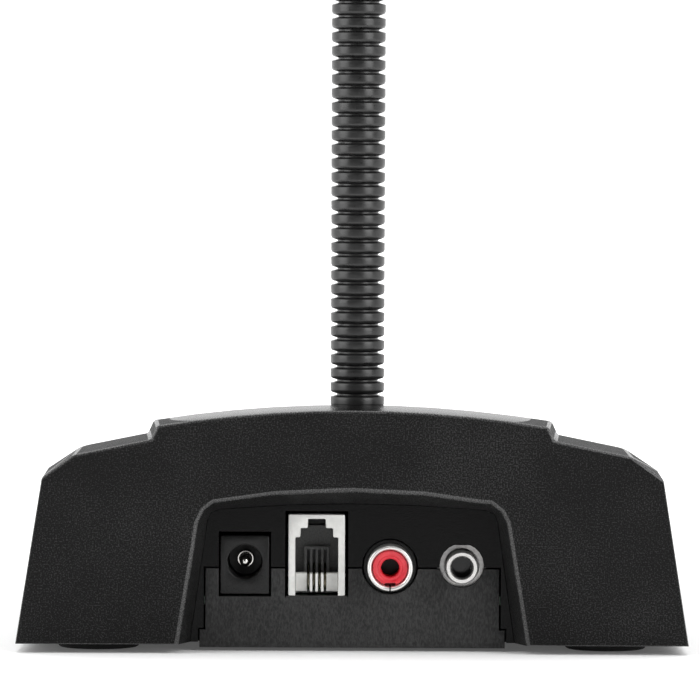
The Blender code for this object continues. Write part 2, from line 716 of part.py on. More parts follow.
def socket_tab():
    """The lower half of the socket panel, which stands on the bottom cover's tongue."""
    foot, half = PANEL_TAB_FOOT_HALF, PANEL_TAB_HALF
    shape = [
        (foot, -PANEL_TAB_LIP),
        (foot, PANEL_TAB_FOOT_TOP),
        (half, PANEL_TAB_FOOT_TOP),
        (half, PANEL_TAB_TOP),
    ]
    shape += [(-x, z) for x, z in reversed(shape)]
    at = (0.0, FLOOR_Y - RECESS_WALL / 2, RIM_Z)
    return place("socket_tab", flat(shape, RECESS_WALL), at, TURN_UP)


def upright(name, places, radius, bottom, top, sides=12):
    """A rod standing at each of these places."""
    return [
        place(f"{name}_{n}", rod(radius, bottom, top, sides), (x, y, 0.0))
        for n, (x, y) in enumerate(places, 1)
    ]


def bottom_cover():
    middle = RIM_Z + PLATE / 2
    plate = flat(bottom_outline(), PLATE)
    cover = place("bottom_cover", plate, (0.0, 0.0, middle), look=CASE_PLASTIC)
    boss_top = RIM_Z + SCREW_BOSS_TOP
    board_bottom = BOARD_TOP_Z - BOARD
    ballast_radius, ballast_rise = BALLAST_BOSS
    joined = [
        socket_tab(),
        *upright("foot_boss", FEET, BOSS_RADIUS, FOOT_SHOWS, middle, 20),
        *upright("screw_boss", BASE_SCREWS, SCREW_BOSS_RADIUS, middle, boss_top),
        *upright("standoff", STANDOFFS, STANDOFF_RADIUS, middle, board_bottom - CLEAR),
        *upright("ballast_boss", BALLAST_SCREWS, ballast_radius, middle, RIM_Z + PLATE + ballast_rise),
    ]
    head_radius = CLOSING_SCREW["head_radius"] + CLEAR
    shank_radius = CLOSING_SCREW["shank_radius"] + CLEAR
    tip = BALLAST_SEAT_Z - SMALL_SCREW["shank"] - CLEAR
    pocket = FOOT_SHOWS + FOOT_SUNK + CLEAR
    cut = [
        *upright("foot_pocket", FEET, FOOT_RADIUS + CLEAR, 0.0, pocket, 20),
        *upright("head_hole", BASE_SCREWS, head_radius, 0.0, CLOSING_HEAD_Z + CLEAR),
        *upright("shank_hole", BASE_SCREWS, shank_radius, 0.0, boss_top + OVERRUN, 10),
        *upright("standoff_hole", BOARD_SCREWS, SMALL_BORE, RIM_Z + PLATE, board_bottom + OVERRUN, 10),
        *upright("ballast_hole", BALLAST_SCREWS, SMALL_BORE, tip, TOP_Z, 10),
    ]
    for solid in joined:
        combine(cover, solid, "UNION")
    for hole in cut:
        combine(cover, hole)
    return cover


def open_sockets():
    for hole in socket_holes():
        for name in ("top_cover", "bottom_cover"):
            combine(bpy.data.objects[name], hole)


def feet():
    profile = [
        (0.0, FOOT_SHOWS + FOOT_SUNK),
        (FOOT_RADIUS, FOOT_SHOWS + FOOT_SUNK),
        (FOOT_RADIUS, FOOT_EDGE),
        (FOOT_RADIUS - FOOT_EDGE, 0.0),
        (0.0, 0.0),
    ]
    for n, (x, y) in enumerate(FEET, 1):
        turned(f"foot_{n}", profile, 20, at=(x, y, 0.0), look=RUBBER)


def screws():
    """Every screw: its head's seat is at the given point, and its shank points along local +Z."""
    level, flip = (0.0, 0.0, 0.0), (math.pi, 0.0, 0.0)
    closing = screw_mesh(**CLOSING_SCREW)
    small = screw_mesh(**SMALL_SCREW)
    closing.materials.append(STEEL)
    small.materials.append(STEEL)
    board_z = BOARD_TOP_Z + CLEAR
    control_z = -CONTROL_BOARD_DROP - BOARD - CLEAR
    groups = [
        ("base_screw", closing, BASE_SCREWS, CLOSING_HEAD_Z, level, None),
        ("main_board_screw", small, BOARD_SCREWS, board_z, flip, None),
        ("ballast_screw", small, BALLAST_SCREWS, BALLAST_SEAT_Z, flip, None),
        ("control_board_screw", small, CONTROL_SCREWS, control_z, level, PANEL_FRAME),
    ]
    for name, mesh, places, seat, turn, parent in groups:
        for n, (x, y) in enumerate(places, 1):
            item = bpy.data.objects.new(f"{name}_{n}", mesh)
            item.location = (x, y, seat)
            item.rotation_euler = turn
            item.parent = parent
            PARTS.objects.link(item)


def ballast_plate():
    size = (BALLAST_WIDTH, BALLAST_REAR - BALLAST_FRONT, BALLAST_THICK)
    low = (-BALLAST_WIDTH / 2, BALLAST_FRONT, BALLAST_TOP_Z - BALLAST_THICK)
    plate = place("ballast_plate", box(size, low), look=STEEL)
    radius, rise = BALLAST_BOSS
    above = BALLAST_TOP_Z + OVERRUN
    head_radius = SMALL_SCREW["head_radius"] + CLEAR
    reliefs = upright("relief", BALLAST_SCREWS, radius + CLEAR, RIM_Z, RIM_Z + PLATE + rise + CLEAR)
    shanks = upright("ballast_shank", BALLAST_SCREWS, SMALL_BORE, RIM_Z, above, 10)
    heads = upright("ballast_head", BALLAST_SCREWS, head_radius, BALLAST_SEAT_Z - CLEAR, above)
    for hole in reliefs + shanks + heads:
        combine(plate, hole)


def boards():
    rear = FLOOR_Y - RECESS_WALL - 4 * CLEAR
    size = (2 * MAIN_BOARD_HALF, rear - MAIN_BOARD_FRONT, BOARD)
    low = (-MAIN_BOARD_HALF, MAIN_BOARD_FRONT, BOARD_TOP_Z - BOARD)
    main = place("main_board", box(size, low), look=CIRCUIT_BOARD)
    for hole in upright("board_hole", BOARD_SCREWS, SMALL_BORE, RIM_Z, TOP_Z, 10):
        combine(main, hole)
    size = (*CONTROL_BOARD, BOARD)
    low = (-size[0] / 2, -size[1] / 2, -CONTROL_BOARD_DROP - BOARD)
    control = place("control_board", box(size, low), look=CIRCUIT_BOARD, parent=PANEL_FRAME)
    for n, (x, y) in enumerate(CONTROL_SCREWS, 1):
        hole = rod(SMALL_BORE, -CONTROL_BOARD_DROP - 2 * BOARD, BOARD - CONTROL_BOARD_DROP, 10)
        combine(control, place(f"control_hole_{n}", hole, (x, y, 0.0), parent=PANEL_FRAME))


def power_jack():
    face = FLOOR_Y - POWER_SET_BACK
    x, z = POWER_AT[0], BOARD_TOP_Z + POWER_AT[1]
    low = (x - POWER_SIZE[0] / 2, face - POWER_SIZE[1], BOARD_TOP_Z + SOCKET_LIFT)
    body = place("power_jack_body", box(POWER_SIZE, low), look=SOCKET_BLACK)
    root = -POWER_DEPTH - PIN_ROOT
    bore = [
        (0.0, OVERRUN),
        (POWER_BORE, OVERRUN),
        (POWER_BORE, -POWER_DEPTH),
        (POWER_PIN + CLEAR, -POWER_DEPTH),
        (POWER_PIN + CLEAR, root),
        (0.0, root),
    ]
    combine(body, turned("power_bore", bore, 20, at=(x, face, z), turn=TURN_BACK))
    pin = [
        (0.0, -POWER_PIN),
        (POWER_PIN * 0.6, -POWER_PIN),
        (POWER_PIN, -1.6 * POWER_PIN),
        (POWER_PIN, root + CLEAR),
        (0.0, root + CLEAR),
    ]
    turned("power_jack_pin", pin, 12, at=(x, face, z), turn=TURN_BACK, look=NICKEL)


def link_jack():
    """A modular socket: a stepped opening with its latch slot on top, and a comb of spring wires inside."""
    face = FLOOR_Y + LINK_PROUD
    low_z = BOARD_TOP_Z + CLEAR
    low = (LINK_AT - LINK_SIZE[0] / 2, face - LINK_SIZE[1], low_z)
    body = place("link_jack_body", box(LINK_SIZE, low), look=SOCKET_GREY)
    half = [(width, z) for width, bottom, top in LINK_STEPS for z in (bottom, top)]
    shape = half + [(-x, z) for x, z in reversed(half)]
    middle = face + (OVERRUN - LINK_CAVITY) / 2
    plate = flat(shape, LINK_CAVITY + OVERRUN)
    combine(body, place("link_cavity", plate, (LINK_AT, middle, low_z), TURN_UP))
    back = face - LINK_CAVITY + CLEAR
    comb_low = (LINK_AT - LINK_COMB[0] / 2, back, low_z + LINK_COMB_Z)
    comb = place("link_jack_contacts", box(LINK_COMB, comb_low), look=BRASS)
    thick, long = LINK_WIRE
    for n in range(LINK_CONTACTS):
        x = LINK_AT + (n - (LINK_CONTACTS - 1) / 2) * LINK_PITCH
        start = (x, back + LINK_COMB[1] / 2, low_z + LINK_WIRE_Z)
        wire = box((thick, long, thick), (-thick / 2, 0.0, -thick / 2))
        spring = place(f"link_wire_{n}", wire, start, (-LINK_WIRE_FALL, 0.0, 0.0))
        combine(comb, spring, "UNION")


def phono_jack():
    x, z = PHONO_AT[0], BOARD_TOP_Z + PHONO_AT[1]
    behind = RECESS_WALL + CLEAR
    where = {"at": (x, FLOOR_Y, z), "turn": TURN_BACK}
    inner = PHONO_SHELL - PHONO_WALL
    edge = PHONO_WALL / 4
    flange = PHONO_HOLE - CLEAR
    shell = [
        (inner, PHONO_REACH),
        (PHONO_SHELL - edge, PHONO_REACH),
        (PHONO_SHELL, PHONO_REACH - edge),
        (PHONO_SHELL, PHONO_FLANGE - RECESS_WALL),
        (flange, PHONO_FLANGE - RECESS_WALL),
        (flange, -RECESS_WALL),
        (inner, -RECESS_WALL),
    ]
    turned("phono_jack_shell", shell, 24, look=NICKEL, **where)
    reach = PHONO_REACH - PHONO_CORE_DROP
    width, depth, tall = PHONO_BODY
    low = (x - width / 2, FLOOR_Y - behind - depth, BOARD_TOP_Z + SOCKET_LIFT)
    insulator = place("phono_jack_insulator", box((width, depth, tall), low), look=SOCKET_RED)
    spigot = rod(inner - CLEAR, -behind - OVERRUN, reach, 20)
    combine(insulator, place("phono_spigot", spigot, where["at"], TURN_BACK), "UNION")
    bore = rod(PHONO_BORE, -PHONO_DEPTH - 2 * CLEAR, reach + OVERRUN, 16)
    combine(insulator, place("phono_bore", bore, where["at"], TURN_BACK))
    outer = PHONO_BORE - CLEAR
    tip = reach - OVERRUN
    contact = [
        (outer - PHONO_CONTACT_WALL, tip),
        (outer, tip),
        (outer, -PHONO_DEPTH),
        (outer - PHONO_CONTACT_WALL, -PHONO_DEPTH),
    ]
    turned("phono_jack_contact", contact, 12, look=BRASS, **where)


def mini_jack():
    x, z = MINI_AT[0], BOARD_TOP_Z + MINI_AT[1]
    behind = RECESS_WALL + CLEAR
    where = {"at": (x, FLOOR_Y, z), "turn": TURN_BACK}
    width, depth, _ = MINI_BODY
    low = (x - width / 2, FLOOR_Y - behind - depth, BOARD_TOP_Z + SOCKET_LIFT)
    body = place("mini_jack_body", box(MINI_BODY, low), look=NICKEL)
    root = -behind - MINI_GRIP
    bore = [
        (0.0, 0.0),
        (MINI_BUSHING + CLEAR, 0.0),
        (MINI_BUSHING + CLEAR, root - CLEAR),
        (MINI_BORE, root - CLEAR),
        (MINI_BORE, -MINI_DEPTH),
        (0.0, -MINI_DEPTH),
    ]
    combine(body, turned("mini_bore", bore, 20, **where))
    bushing = [
        (MINI_BORE + MINI_LEAD_IN, MINI_REACH),
        (MINI_BUSHING - CLEAR, MINI_REACH),
        (MINI_BUSHING, MINI_REACH - CLEAR),
        (MINI_BUSHING, root),
        (MINI_BORE, root),
        (MINI_BORE, MINI_REACH - 2 * CLEAR),
    ]
    turned("mini_jack_bushing", bushing, 20, look=NICKEL, **where)


def control_panel():
    outline = rounded_rectangle(*PANEL_SIZE, PANEL_CORNER)
    at = (0.0, 0.0, CLEAR - PANEL_SINK + PANEL_THICK / 2)
    plate = flat(outline, PANEL_THICK)
    panel = place("control_panel", plate, at, look=PANEL_PLASTIC, parent=PANEL_FRAME)
    for hole in control_holes():
        combine(panel, hole)
        combine(bpy.data.objects["top_cover"], hole)


def push_button(name, size, centre, stem_radius, switch_side):
    """A cap that its flange keeps in the opening, on a stem that slides in its switch."""
    width, length, radius = size
    thick = BUTTON_FLANGE_THICK
    flange_low = -WALL - 2 * CLEAR - thick
    root = thick / 2 - thick - flange_low
    own_frame = frame(f"{name}_button_frame", (*centre, 0.0), parent=PANEL_FRAME)
    cap = flat(rounded_rectangle(width, length, radius), BUTTON_PROUD + root)
    button = place(f"{name}_button", cap, look=BUTTON_GREY, parent=own_frame)
    for corner in cap.vertices:
        corner.co.z += (BUTTON_PROUD - root) / 2
    edge = button.modifiers.new("soft_edge", "BEVEL")
    edge.width = BUTTON_EDGE
    edge.segments = 2
    edge.limit_method = "ANGLE"
    edge.angle_limit = math.radians(60)
    wider = 2 * BUTTON_FLANGE
    rim = flat(rounded_rectangle(width + wider, length + wider, radius + BUTTON_FLANGE), thick)
    flange = place(f"{name}_flange", rim, (0.0, 0.0, flange_low + thick / 2), parent=own_frame)
    switch_low = CLEAR - CONTROL_BOARD_DROP
    stem = rod(stem_radius, switch_low + BUTTON_TRAVEL + STEM_FOOT, flange_low + thick / 2, 12)
    combine(button, flange, "UNION")
    combine(button, place(f"{name}_stem", stem, parent=own_frame), "UNION")
    top = flange_low - BUTTON_TRAVEL - CLEAR
    low = (centre[0] - switch_side / 2, centre[1] - switch_side / 2, switch_low)
    mesh = box((switch_side, switch_side, top - switch_low), low)
    switch = place(f"{name}_switch", mesh, look=SOCKET_BLACK, parent=PANEL_FRAME)
    well = rod(stem_radius + CLEAR, switch_low + SWITCH_FLOOR, top + OVERRUN, 12)
    combine(switch, place(f"{name}_well", well, (*centre, 0.0), parent=PANEL_FRAME))


def volume_control():
    where = {"at": (*VOLUME_AT, 0.0), "parent": PANEL_FRAME}
    top = KNOB_GAP + KNOB_HEIGHT
    bore_top = top - KNOB_CROWN
    knob = [
        (0.0, top),
        (KNOB_RADIUS - 2 * KNOB_EDGE, top),
        (KNOB_RADIUS - KNOB_EDGE, top - KNOB_EDGE),
        (KNOB_RADIUS, KNOB_GAP),
        (SHAFT_RADIUS + CLEAR, KNOB_GAP),
        (SHAFT_RADIUS + CLEAR, bore_top),
        (0.0, bore_top),
    ]
    turned("volume_knob", knob, 24, look=CASE_PLASTIC, **where)
    shaft_low = SWITCH_FLOOR - CONTROL_BOARD_DROP
    shaft_top = bore_top - CLEAR
    shaft = [
        (0.0, shaft_top),
        (SHAFT_RADIUS - SHAFT_EDGE, shaft_top),
        (SHAFT_RADIUS, shaft_top - SHAFT_EDGE),
        (SHAFT_RADIUS, shaft_low),
        (0.0, shaft_low),
    ]
    turned("volume_shaft", shaft, 16, look=STEEL, **where)
    low = (VOLUME_AT[0] - POT_SIDE / 2, VOLUME_AT[1] - POT_SIDE / 2, CLEAR - CONTROL_BOARD_DROP)
    mesh = box((POT_SIDE, POT_SIDE, POT_HEIGHT), low)
    pot = place("volume_pot", mesh, look=STEEL, parent=PANEL_FRAME)
    bore = rod(SHAFT_RADIUS + CLEAR, shaft_low - CLEAR, 0.0, 16)
    combine(pot, place("pot_bore", bore, **where))


def status_light():
    low = CLEAR - CONTROL_BOARD_DROP
    wider, rim_top = LIGHT_RADIUS + LIGHT_RIM[0], low + LIGHT_RIM[1]
    profile = [
        (0.0, LIGHT_DOME),
        (LIGHT_RADIUS * 0.7, LIGHT_DOME * 0.75),
        (LIGHT_RADIUS, 0.0),
        (LIGHT_RADIUS, rim_top),
        (wider, rim_top),
        (wider, low),
        (0.0, low),
    ]
    turned("status_light", profile, 12, at=(*LIGHT_AT, 0.0), parent=PANEL_FRAME, look=LENS_GREEN)


def ribbed_side(bottom, ribs):
    """The outer side of a run of ribs from the top down: each has a flat band, with a groove under it."""
    points = []
    for rib in reversed(range(ribs)):
        low = bottom + RIB_GAP / 2 + rib * RIB_PITCH
        points += [(NECK_RADIUS, low + RIB_BAND), (NECK_RADIUS, low)]
        if rib:
            points.append((GROOVE_RADIUS, low - RIB_GAP / 2))
    return points


def spigot_top(top):
    """The hollow spigot that stands on a sleeve and enters the next one's socket."""
    tip = top + RIB_GAP / 2 + SPIGOT_REACH
    return [(NECK_BORE, tip), (SPIGOT_RADIUS, tip), (SPIGOT_RADIUS, top - RIB_GAP / 2)]


def neck_root():
    """The ferrule that the cover holds, its nut, and the short sleeve that stands in the cover."""
    shank_low = FERRULE_Z - FERRULE_LENGTH
    flange_top = FERRULE_Z + FERRULE_FLANGE
    ferrule = [
        (NECK_BORE, flange_top + FERRULE_SPIGOT),
        (SPIGOT_RADIUS, flange_top + FERRULE_SPIGOT),
        (SPIGOT_RADIUS, flange_top),
        (NECK_RADIUS, flange_top),
        (NECK_RADIUS, FERRULE_Z),
        (FERRULE_SHANK, FERRULE_Z),
        (FERRULE_SHANK, shank_low + FERRULE_EDGE),
        (FERRULE_SHANK - FERRULE_EDGE, shank_low),
        (NECK_BORE, shank_low),
    ]
    turned("neck_ferrule", ferrule, 16, at=NECK_FOOT, look=NICKEL)
    nut_top = TOP_Z - NECK_BOSS_DROP - CLEAR
    corner = NUT_ACROSS_FLATS / 2 / math.cos(math.radians(30))
    nut = place("neck_nut", rod(corner, nut_top - NUT_HEIGHT, nut_top, 6), NECK_FOOT, look=STEEL)
    hole = rod(FERRULE_SHANK + CLEAR, nut_top - 2 * NUT_HEIGHT, nut_top + OVERRUN, 16)
    combine(nut, place("nut_thread", hole, NECK_FOOT))
    socket_top = flange_top + FERRULE_SPIGOT + CLEAR
    profile = spigot_top(FIRST_JOINT_Z) + ribbed_side(ROOT_Z, ROOT_RIBS)
    profile += [(SOCKET_RADIUS, ROOT_Z + RIB_GAP / 2), (SOCKET_RADIUS, socket_top)]
    profile += [(NECK_BORE, socket_top)]
    turned("neck_root_sleeve", profile, NECK_SIDES, at=NECK_FOOT, look=NECK_PLASTIC)


def neck_segments():
    """Sleeves of ribs, each hinged on the one below: its origin is on the hinge at its lower end."""
    profile = spigot_top(SEGMENT) + ribbed_side(0.0, RIBS_PER_SEGMENT)
    profile += [(SOCKET_RADIUS, RIB_GAP / 2), (SOCKET_RADIUS, SOCKET_DEPTH), (NECK_BORE, SOCKET_DEPTH)]
    where = {"at": (NECK_X, NECK_Y, FIRST_JOINT_Z), "parent": None}
    for n in range(1, SEGMENTS + 1):
        segment = turned(f"neck_segment_{n:02d}", profile, NECK_SIDES, look=NECK_PLASTIC, **where)
        where = {"at": (0.0, 0.0, SEGMENT), "parent": segment}
    return where


def head(top_hinge):
    """The capsule's housing and all that it carries: the frame is on the top hinge."""
    hinge = frame("head_frame", **top_hinge)
    head_housing(hinge)
    capsule(hinge)
    grille(hinge)
    windscreen(hinge)


def head_housing(hinge):
    floor = HOUSING_LENGTH - HOUSING_WELL
    profile = [
        (HOUSING_BORE, HOUSING_LENGTH),
        (HOUSING_RADIUS, HOUSING_LENGTH),
        (HOUSING_RADIUS, HOUSING_TAPER),
        (NECK_RADIUS, HOUSING_COLLAR),
        (NECK_RADIUS, RIB_GAP / 2),
        (SOCKET_RADIUS, RIB_GAP / 2),
        (SOCKET_RADIUS, SOCKET_DEPTH),
        (NECK_BORE, SOCKET_DEPTH),
        (NECK_BORE, floor),
        (HOUSING_BORE, floor),
    ]
    turned("head_housing", profile, 20, parent=hinge, look=CASE_PLASTIC)


def capsule(hinge):
    """The capsule in its rubber ring."""
    low = HOUSING_LENGTH - GRILLE_SKIRT - RING_DROP
    inside, outside = CAPSULE_RADIUS + CAPSULE_GAP, HOUSING_BORE - CLEAR
    lip, lip_top = inside - RING_LIP[0], low + RING_LIP[1]
    ring = [
        (inside, low + RING_HEIGHT),
        (outside, low + RING_HEIGHT),
        (outside, low),
        (lip, low),
        (lip, lip_top),
        (inside, lip_top),
    ]
    turned("capsule_ring", ring, 20, parent=hinge, look=RUBBER)
    bottom = lip_top + CLEAR
    top = bottom + CAPSULE_HEIGHT
    profile = [
        (0.0, top),
        (CAPSULE_RADIUS - CAPSULE_EDGE, top),
        (CAPSULE_RADIUS, top - CAPSULE_EDGE),
        (CAPSULE_RADIUS, bottom),
        (0.0, bottom),
    ]
    turned("mic_capsule", profile, 20, parent=hinge, look=NICKEL)


def grille(hinge):
    seat = HOUSING_LENGTH + CLEAR
    top = seat + GRILLE_HEIGHT
    skirt_low = HOUSING_LENGTH - GRILLE_SKIRT
    outside = HOUSING_BORE - CLEAR
    inside = outside - GRILLE_WALL
    profile = [(0.0, top), *dome(HOUSING_RADIUS, top, GRILLE_DOME[0])]
    profile += [(HOUSING_RADIUS, seat), (outside, seat), (outside, skirt_low), (inside, skirt_low)]
    profile += [*reversed(dome(inside, top - GRILLE_WALL, GRILLE_DOME[1])), (0.0, top - GRILLE_WALL)]
    turned("grille_cap", profile, 20, parent=hinge, look=STEEL)


def windscreen(hinge):
    low = HOUSING_TAPER + FOAM_START
    top = low + FOAM_LENGTH
    bore = HOUSING_RADIUS + CLEAR
    bore_top = HOUSING_LENGTH + GRILLE_HEIGHT + 2 * CLEAR
    profile = [(0.0, top), *dome(FOAM_RADIUS, top, FOAM_DOME)]
    profile += [(FOAM_RADIUS - inset, low + height) for inset, height in FOAM_TUCK]
    profile += [(bore, low), (bore, bore_top), (0.0, bore_top)]
    turned("windscreen", profile, 20, parent=hinge, look=FOAM)


def dome(radius, top, height, steps=4):
    """The side of a dome from just off its top down to where it is upright."""
    return [
        (
            radius * math.sin(math.radians(90 * step / steps)),
            top - height + height * math.cos(math.radians(90 * step / steps)),
        )
        for step in range(1, steps + 1)
    ]


top_cover()
bottom_cover()
open_sockets()
feet()
screws()
ballast_plate()
boards()
power_jack()
link_jack()
phono_jack()
mini_jack()
control_panel()
push_button("talk", TALK_SIZE, TALK_AT, *TALK_SWITCH)
push_button("chime", CHIME_SIZE, CHIME_AT, *CHIME_SWITCH)
volume_control()
status_light()
neck_root()
head(neck_segments())
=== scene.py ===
# %% [markdown]
# # A desk gooseneck microphone
# The object is a wedge-shaped base with a row of sockets in a recess at its rear, a ribbed neck that bends
# and stays, and a small head under a foam windscreen. This lesson dresses a finished mechanical model: the
# model gives every place and size, and each piece here gets the edges, grooves and surface of the real one.

import json
import math

import bpy
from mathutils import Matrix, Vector

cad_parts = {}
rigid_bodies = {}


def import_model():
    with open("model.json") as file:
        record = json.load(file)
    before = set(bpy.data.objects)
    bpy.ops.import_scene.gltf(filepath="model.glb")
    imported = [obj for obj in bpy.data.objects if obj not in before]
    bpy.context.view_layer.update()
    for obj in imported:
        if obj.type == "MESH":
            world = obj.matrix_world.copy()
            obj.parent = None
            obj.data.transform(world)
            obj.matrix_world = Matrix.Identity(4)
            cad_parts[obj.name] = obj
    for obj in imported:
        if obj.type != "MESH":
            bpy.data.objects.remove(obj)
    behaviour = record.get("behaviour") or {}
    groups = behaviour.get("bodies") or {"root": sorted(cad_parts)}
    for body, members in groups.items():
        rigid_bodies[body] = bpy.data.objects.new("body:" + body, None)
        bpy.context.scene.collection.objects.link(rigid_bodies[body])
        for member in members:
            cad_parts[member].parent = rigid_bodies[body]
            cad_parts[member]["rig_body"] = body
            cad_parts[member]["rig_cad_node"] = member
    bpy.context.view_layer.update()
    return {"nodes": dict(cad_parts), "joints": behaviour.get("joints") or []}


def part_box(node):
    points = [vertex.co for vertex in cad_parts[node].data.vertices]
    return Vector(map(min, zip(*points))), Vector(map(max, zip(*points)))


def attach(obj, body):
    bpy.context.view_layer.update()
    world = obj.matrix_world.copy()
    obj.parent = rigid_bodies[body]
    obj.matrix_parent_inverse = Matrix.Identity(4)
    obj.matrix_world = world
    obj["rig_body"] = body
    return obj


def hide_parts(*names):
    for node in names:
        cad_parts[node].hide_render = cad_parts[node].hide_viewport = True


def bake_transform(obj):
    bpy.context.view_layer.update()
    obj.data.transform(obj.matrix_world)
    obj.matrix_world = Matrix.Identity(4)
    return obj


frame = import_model()
NODE_SLOT = {name: piece.data.materials[0].name for name, piece in frame["nodes"].items()}
for piece in frame["nodes"].values():
    piece.data.materials.clear()
for plain in list(bpy.data.materials):
    bpy.data.materials.remove(plain)
print("loaded", len(NODE_SLOT), "pieces in", len(set(NODE_SLOT.values())), "finishes")

# %% [markdown]
# ## The camera
# A product like this is shot from far away with a long lens, a little above the top, so that its upright
# sides stay upright. A long distance and a narrow view could be had with an orthographic camera too, but
# a real lens keeps the small convergence that shows the depth of the recess.

# %% Camera
REAR_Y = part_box("top_cover")[1].y
TOP_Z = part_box("top_cover")[1].z
RIM_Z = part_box("top_cover")[0].z
CAMERA_AWAY = 1.20
VIEW_WIDTH = 0.12735  # metres across the view at the rear face
SENSOR_WIDTH = 36.0
AIM = Vector((0.0006, REAR_Y, 0.0556))
CAMERA_RISE = math.tan(math.radians(3.1)) * CAMERA_AWAY
CAMERA_ROLL = math.radians(0.24)

camera_data = bpy.data.cameras.new("camera")
camera_data.sensor_width = SENSOR_WIDTH
camera_data.lens = SENSOR_WIDTH * CAMERA_AWAY / VIEW_WIDTH
camera_data.clip_start = 0.05
camera = bpy.data.objects.new("camera", camera_data)
bpy.context.scene.collection.objects.link(camera)
camera.location = (AIM.x, REAR_Y + CAMERA_AWAY, TOP_Z + CAMERA_RISE)
camera.rotation_euler = (AIM - camera.location).to_track_quat("-Z", "Y").to_euler()
camera.rotation_euler.rotate_axis("Z", CAMERA_ROLL)
bpy.context.scene.camera = camera
print("lens", round(camera_data.lens), "mm, camera", round(camera.location.z * 1000), "mm up")

# %% [markdown]
# ## Working by hand, from code
# Modelling operators act on whatever is selected, so every step starts from a clean selection. These
# helpers are the few moves that all the pieces share: start clean, pick one object, finish a modifier,
# and copy a piece of the mechanical model so that its sharp edges can be softened.


# %% Helpers for modelling
def start_clean():
    if bpy.context.mode != "OBJECT":
        bpy.ops.object.mode_set(mode="OBJECT")
    bpy.ops.object.select_all(action="DESELECT")


def pick(piece):
    start_clean()
    piece.select_set(True)
    bpy.context.view_layer.objects.active = piece


def finish_modifier(piece, kind, **settings):
    pick(piece)
    modifier = piece.modifiers.new(kind.lower(), kind)
    for name, value in settings.items():
        setattr(modifier, name, value)
    bpy.ops.object.modifier_apply(modifier=modifier.name)


def edit(piece):
    pick(piece)
    bpy.ops.object.mode_set(mode="EDIT")
    bpy.ops.mesh.select_all(action="SELECT")


def settle(piece, name):
    """Puts a finished piece's place into its mesh and gives it its name."""
    pick(piece)
    bpy.ops.object.transform_apply(location=True, rotation=True, scale=True)
    piece.name = name
    piece.data.name = name
    return piece


def face_outwards(piece):
    edit(piece)
    bpy.ops.mesh.remove_doubles(threshold=0.000001)
    bpy.ops.mesh.normals_make_consistent(inside=False)
    start_clean()


def smooth(piece, degrees=35.0):
    pick(piece)
    bpy.ops.object.shade_smooth_by_angle(angle=math.radians(degrees))


def wear(piece, look, body, *nodes, slot=None, second=None):
    """Gives the piece its finish, its body and the model's pieces that it stands for."""
    shares = [face.material_index for face in piece.data.polygons]
    piece.data.materials.clear()
    piece.data.materials.append(look)
    if second:
        piece.data.materials.append(second)
        piece.data.polygons.foreach_set("material_index", shares)
    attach(piece, body)
    if nodes:
        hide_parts(*nodes)
    return piece


# %% Copy a piece of the model, ready for soft edges
def copied(node, name):
    start_clean()
    piece = frame["nodes"][node].copy()
    piece.data = piece.data.copy()
    bpy.context.scene.collection.objects.link(piece)
    piece.parent = None
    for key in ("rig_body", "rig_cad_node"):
        if key in piece:
            del piece[key]
    piece.name = name
    edit(piece)
    bpy.ops.mesh.customdata_custom_splitnormals_clear()
    bpy.ops.mesh.remove_doubles(threshold=0.000002)
    bpy.ops.mesh.dissolve_limited(angle_limit=math.radians(0.4))
    start_clean()
    return piece


def softened(node, name, width, degrees=30.0):
    """A copy whose edges sharper than this angle are rounded to this width."""
    piece = copied(node, name)
    finish_modifier(
        piece,
        "BEVEL",
        width=width,
        segments=3,
        limit_method="ANGLE",
        angle_limit=math.radians(degrees),
        use_clamp_overlap=True,
    )
    smooth(piece)
    return piece


# %% [markdown]
# ## Finishes
# Black plastic is never one flat black. The mould leaves a fine grain, the tone drifts a little, and the
# gloss changes with both. Each finish is therefore a small tree of noise textures on object coordinates,
# in metres, so that the grain keeps its real size on every piece. Image textures could do this too, but
# they would need unwrapped pieces, and noise needs none.


# %% Helpers for finishes
def finish(name, **sockets):
    look = bpy.data.materials.new(name)
    look.use_nodes = True
    shader = look.node_tree.nodes["Principled BSDF"]
    for socket, value in sockets.items():
        shader.inputs[socket.replace("_", " ")].default_value = value
    return look


def node(look, kind, inputs=(), **settings):
    made = look.node_tree.nodes.new("ShaderNode" + kind)
    for name, value in settings.items():
        setattr(made, name, value)
    for socket, value in dict(inputs).items():
        if isinstance(value, bpy.types.NodeSocket):
            look.node_tree.links.new(value, made.inputs[socket])
        else:
            made.inputs[socket].default_value = value
    return made


def shader_of(look):
    return look.node_tree.nodes["Principled BSDF"]


def place_of(look, stretch=(1.0, 1.0, 1.0)):
    """The point being shaded, in metres; a stretch under 1 draws a pattern out along that axis."""
    coordinates = node(look, "TexCoord")
    mapping = node(look, "Mapping", {"Vector": coordinates.outputs["Object"]})
    mapping.inputs["Scale"].default_value = stretch
    return mapping.outputs["Vector"]


def noise(look, where, scale, detail=3.0, roughness=0.55):
    inputs = {"Vector": where, "Scale": scale, "Detail": detail, "Roughness": roughness}
    return node(look, "TexNoise", inputs).outputs["Fac"]


def cells(look, where, scale):
    return node(look, "TexVoronoi", {"Vector": where, "Scale": scale}).outputs["Distance"]


def between(look, value, low, high, start=0.3, end=0.7):
    """Runs from low to high as the value goes from start to end."""
    inputs = {"Value": value, "From Min": start, "From Max": end, "To Min": low, "To Max": high}
    return node(look, "MapRange", inputs).outputs["Result"]


def sums(look, operation, first, second):
    """One step of arithmetic on two values."""
    return node(look, "Math", {0: first, 1: second}, operation=operation).outputs[0]


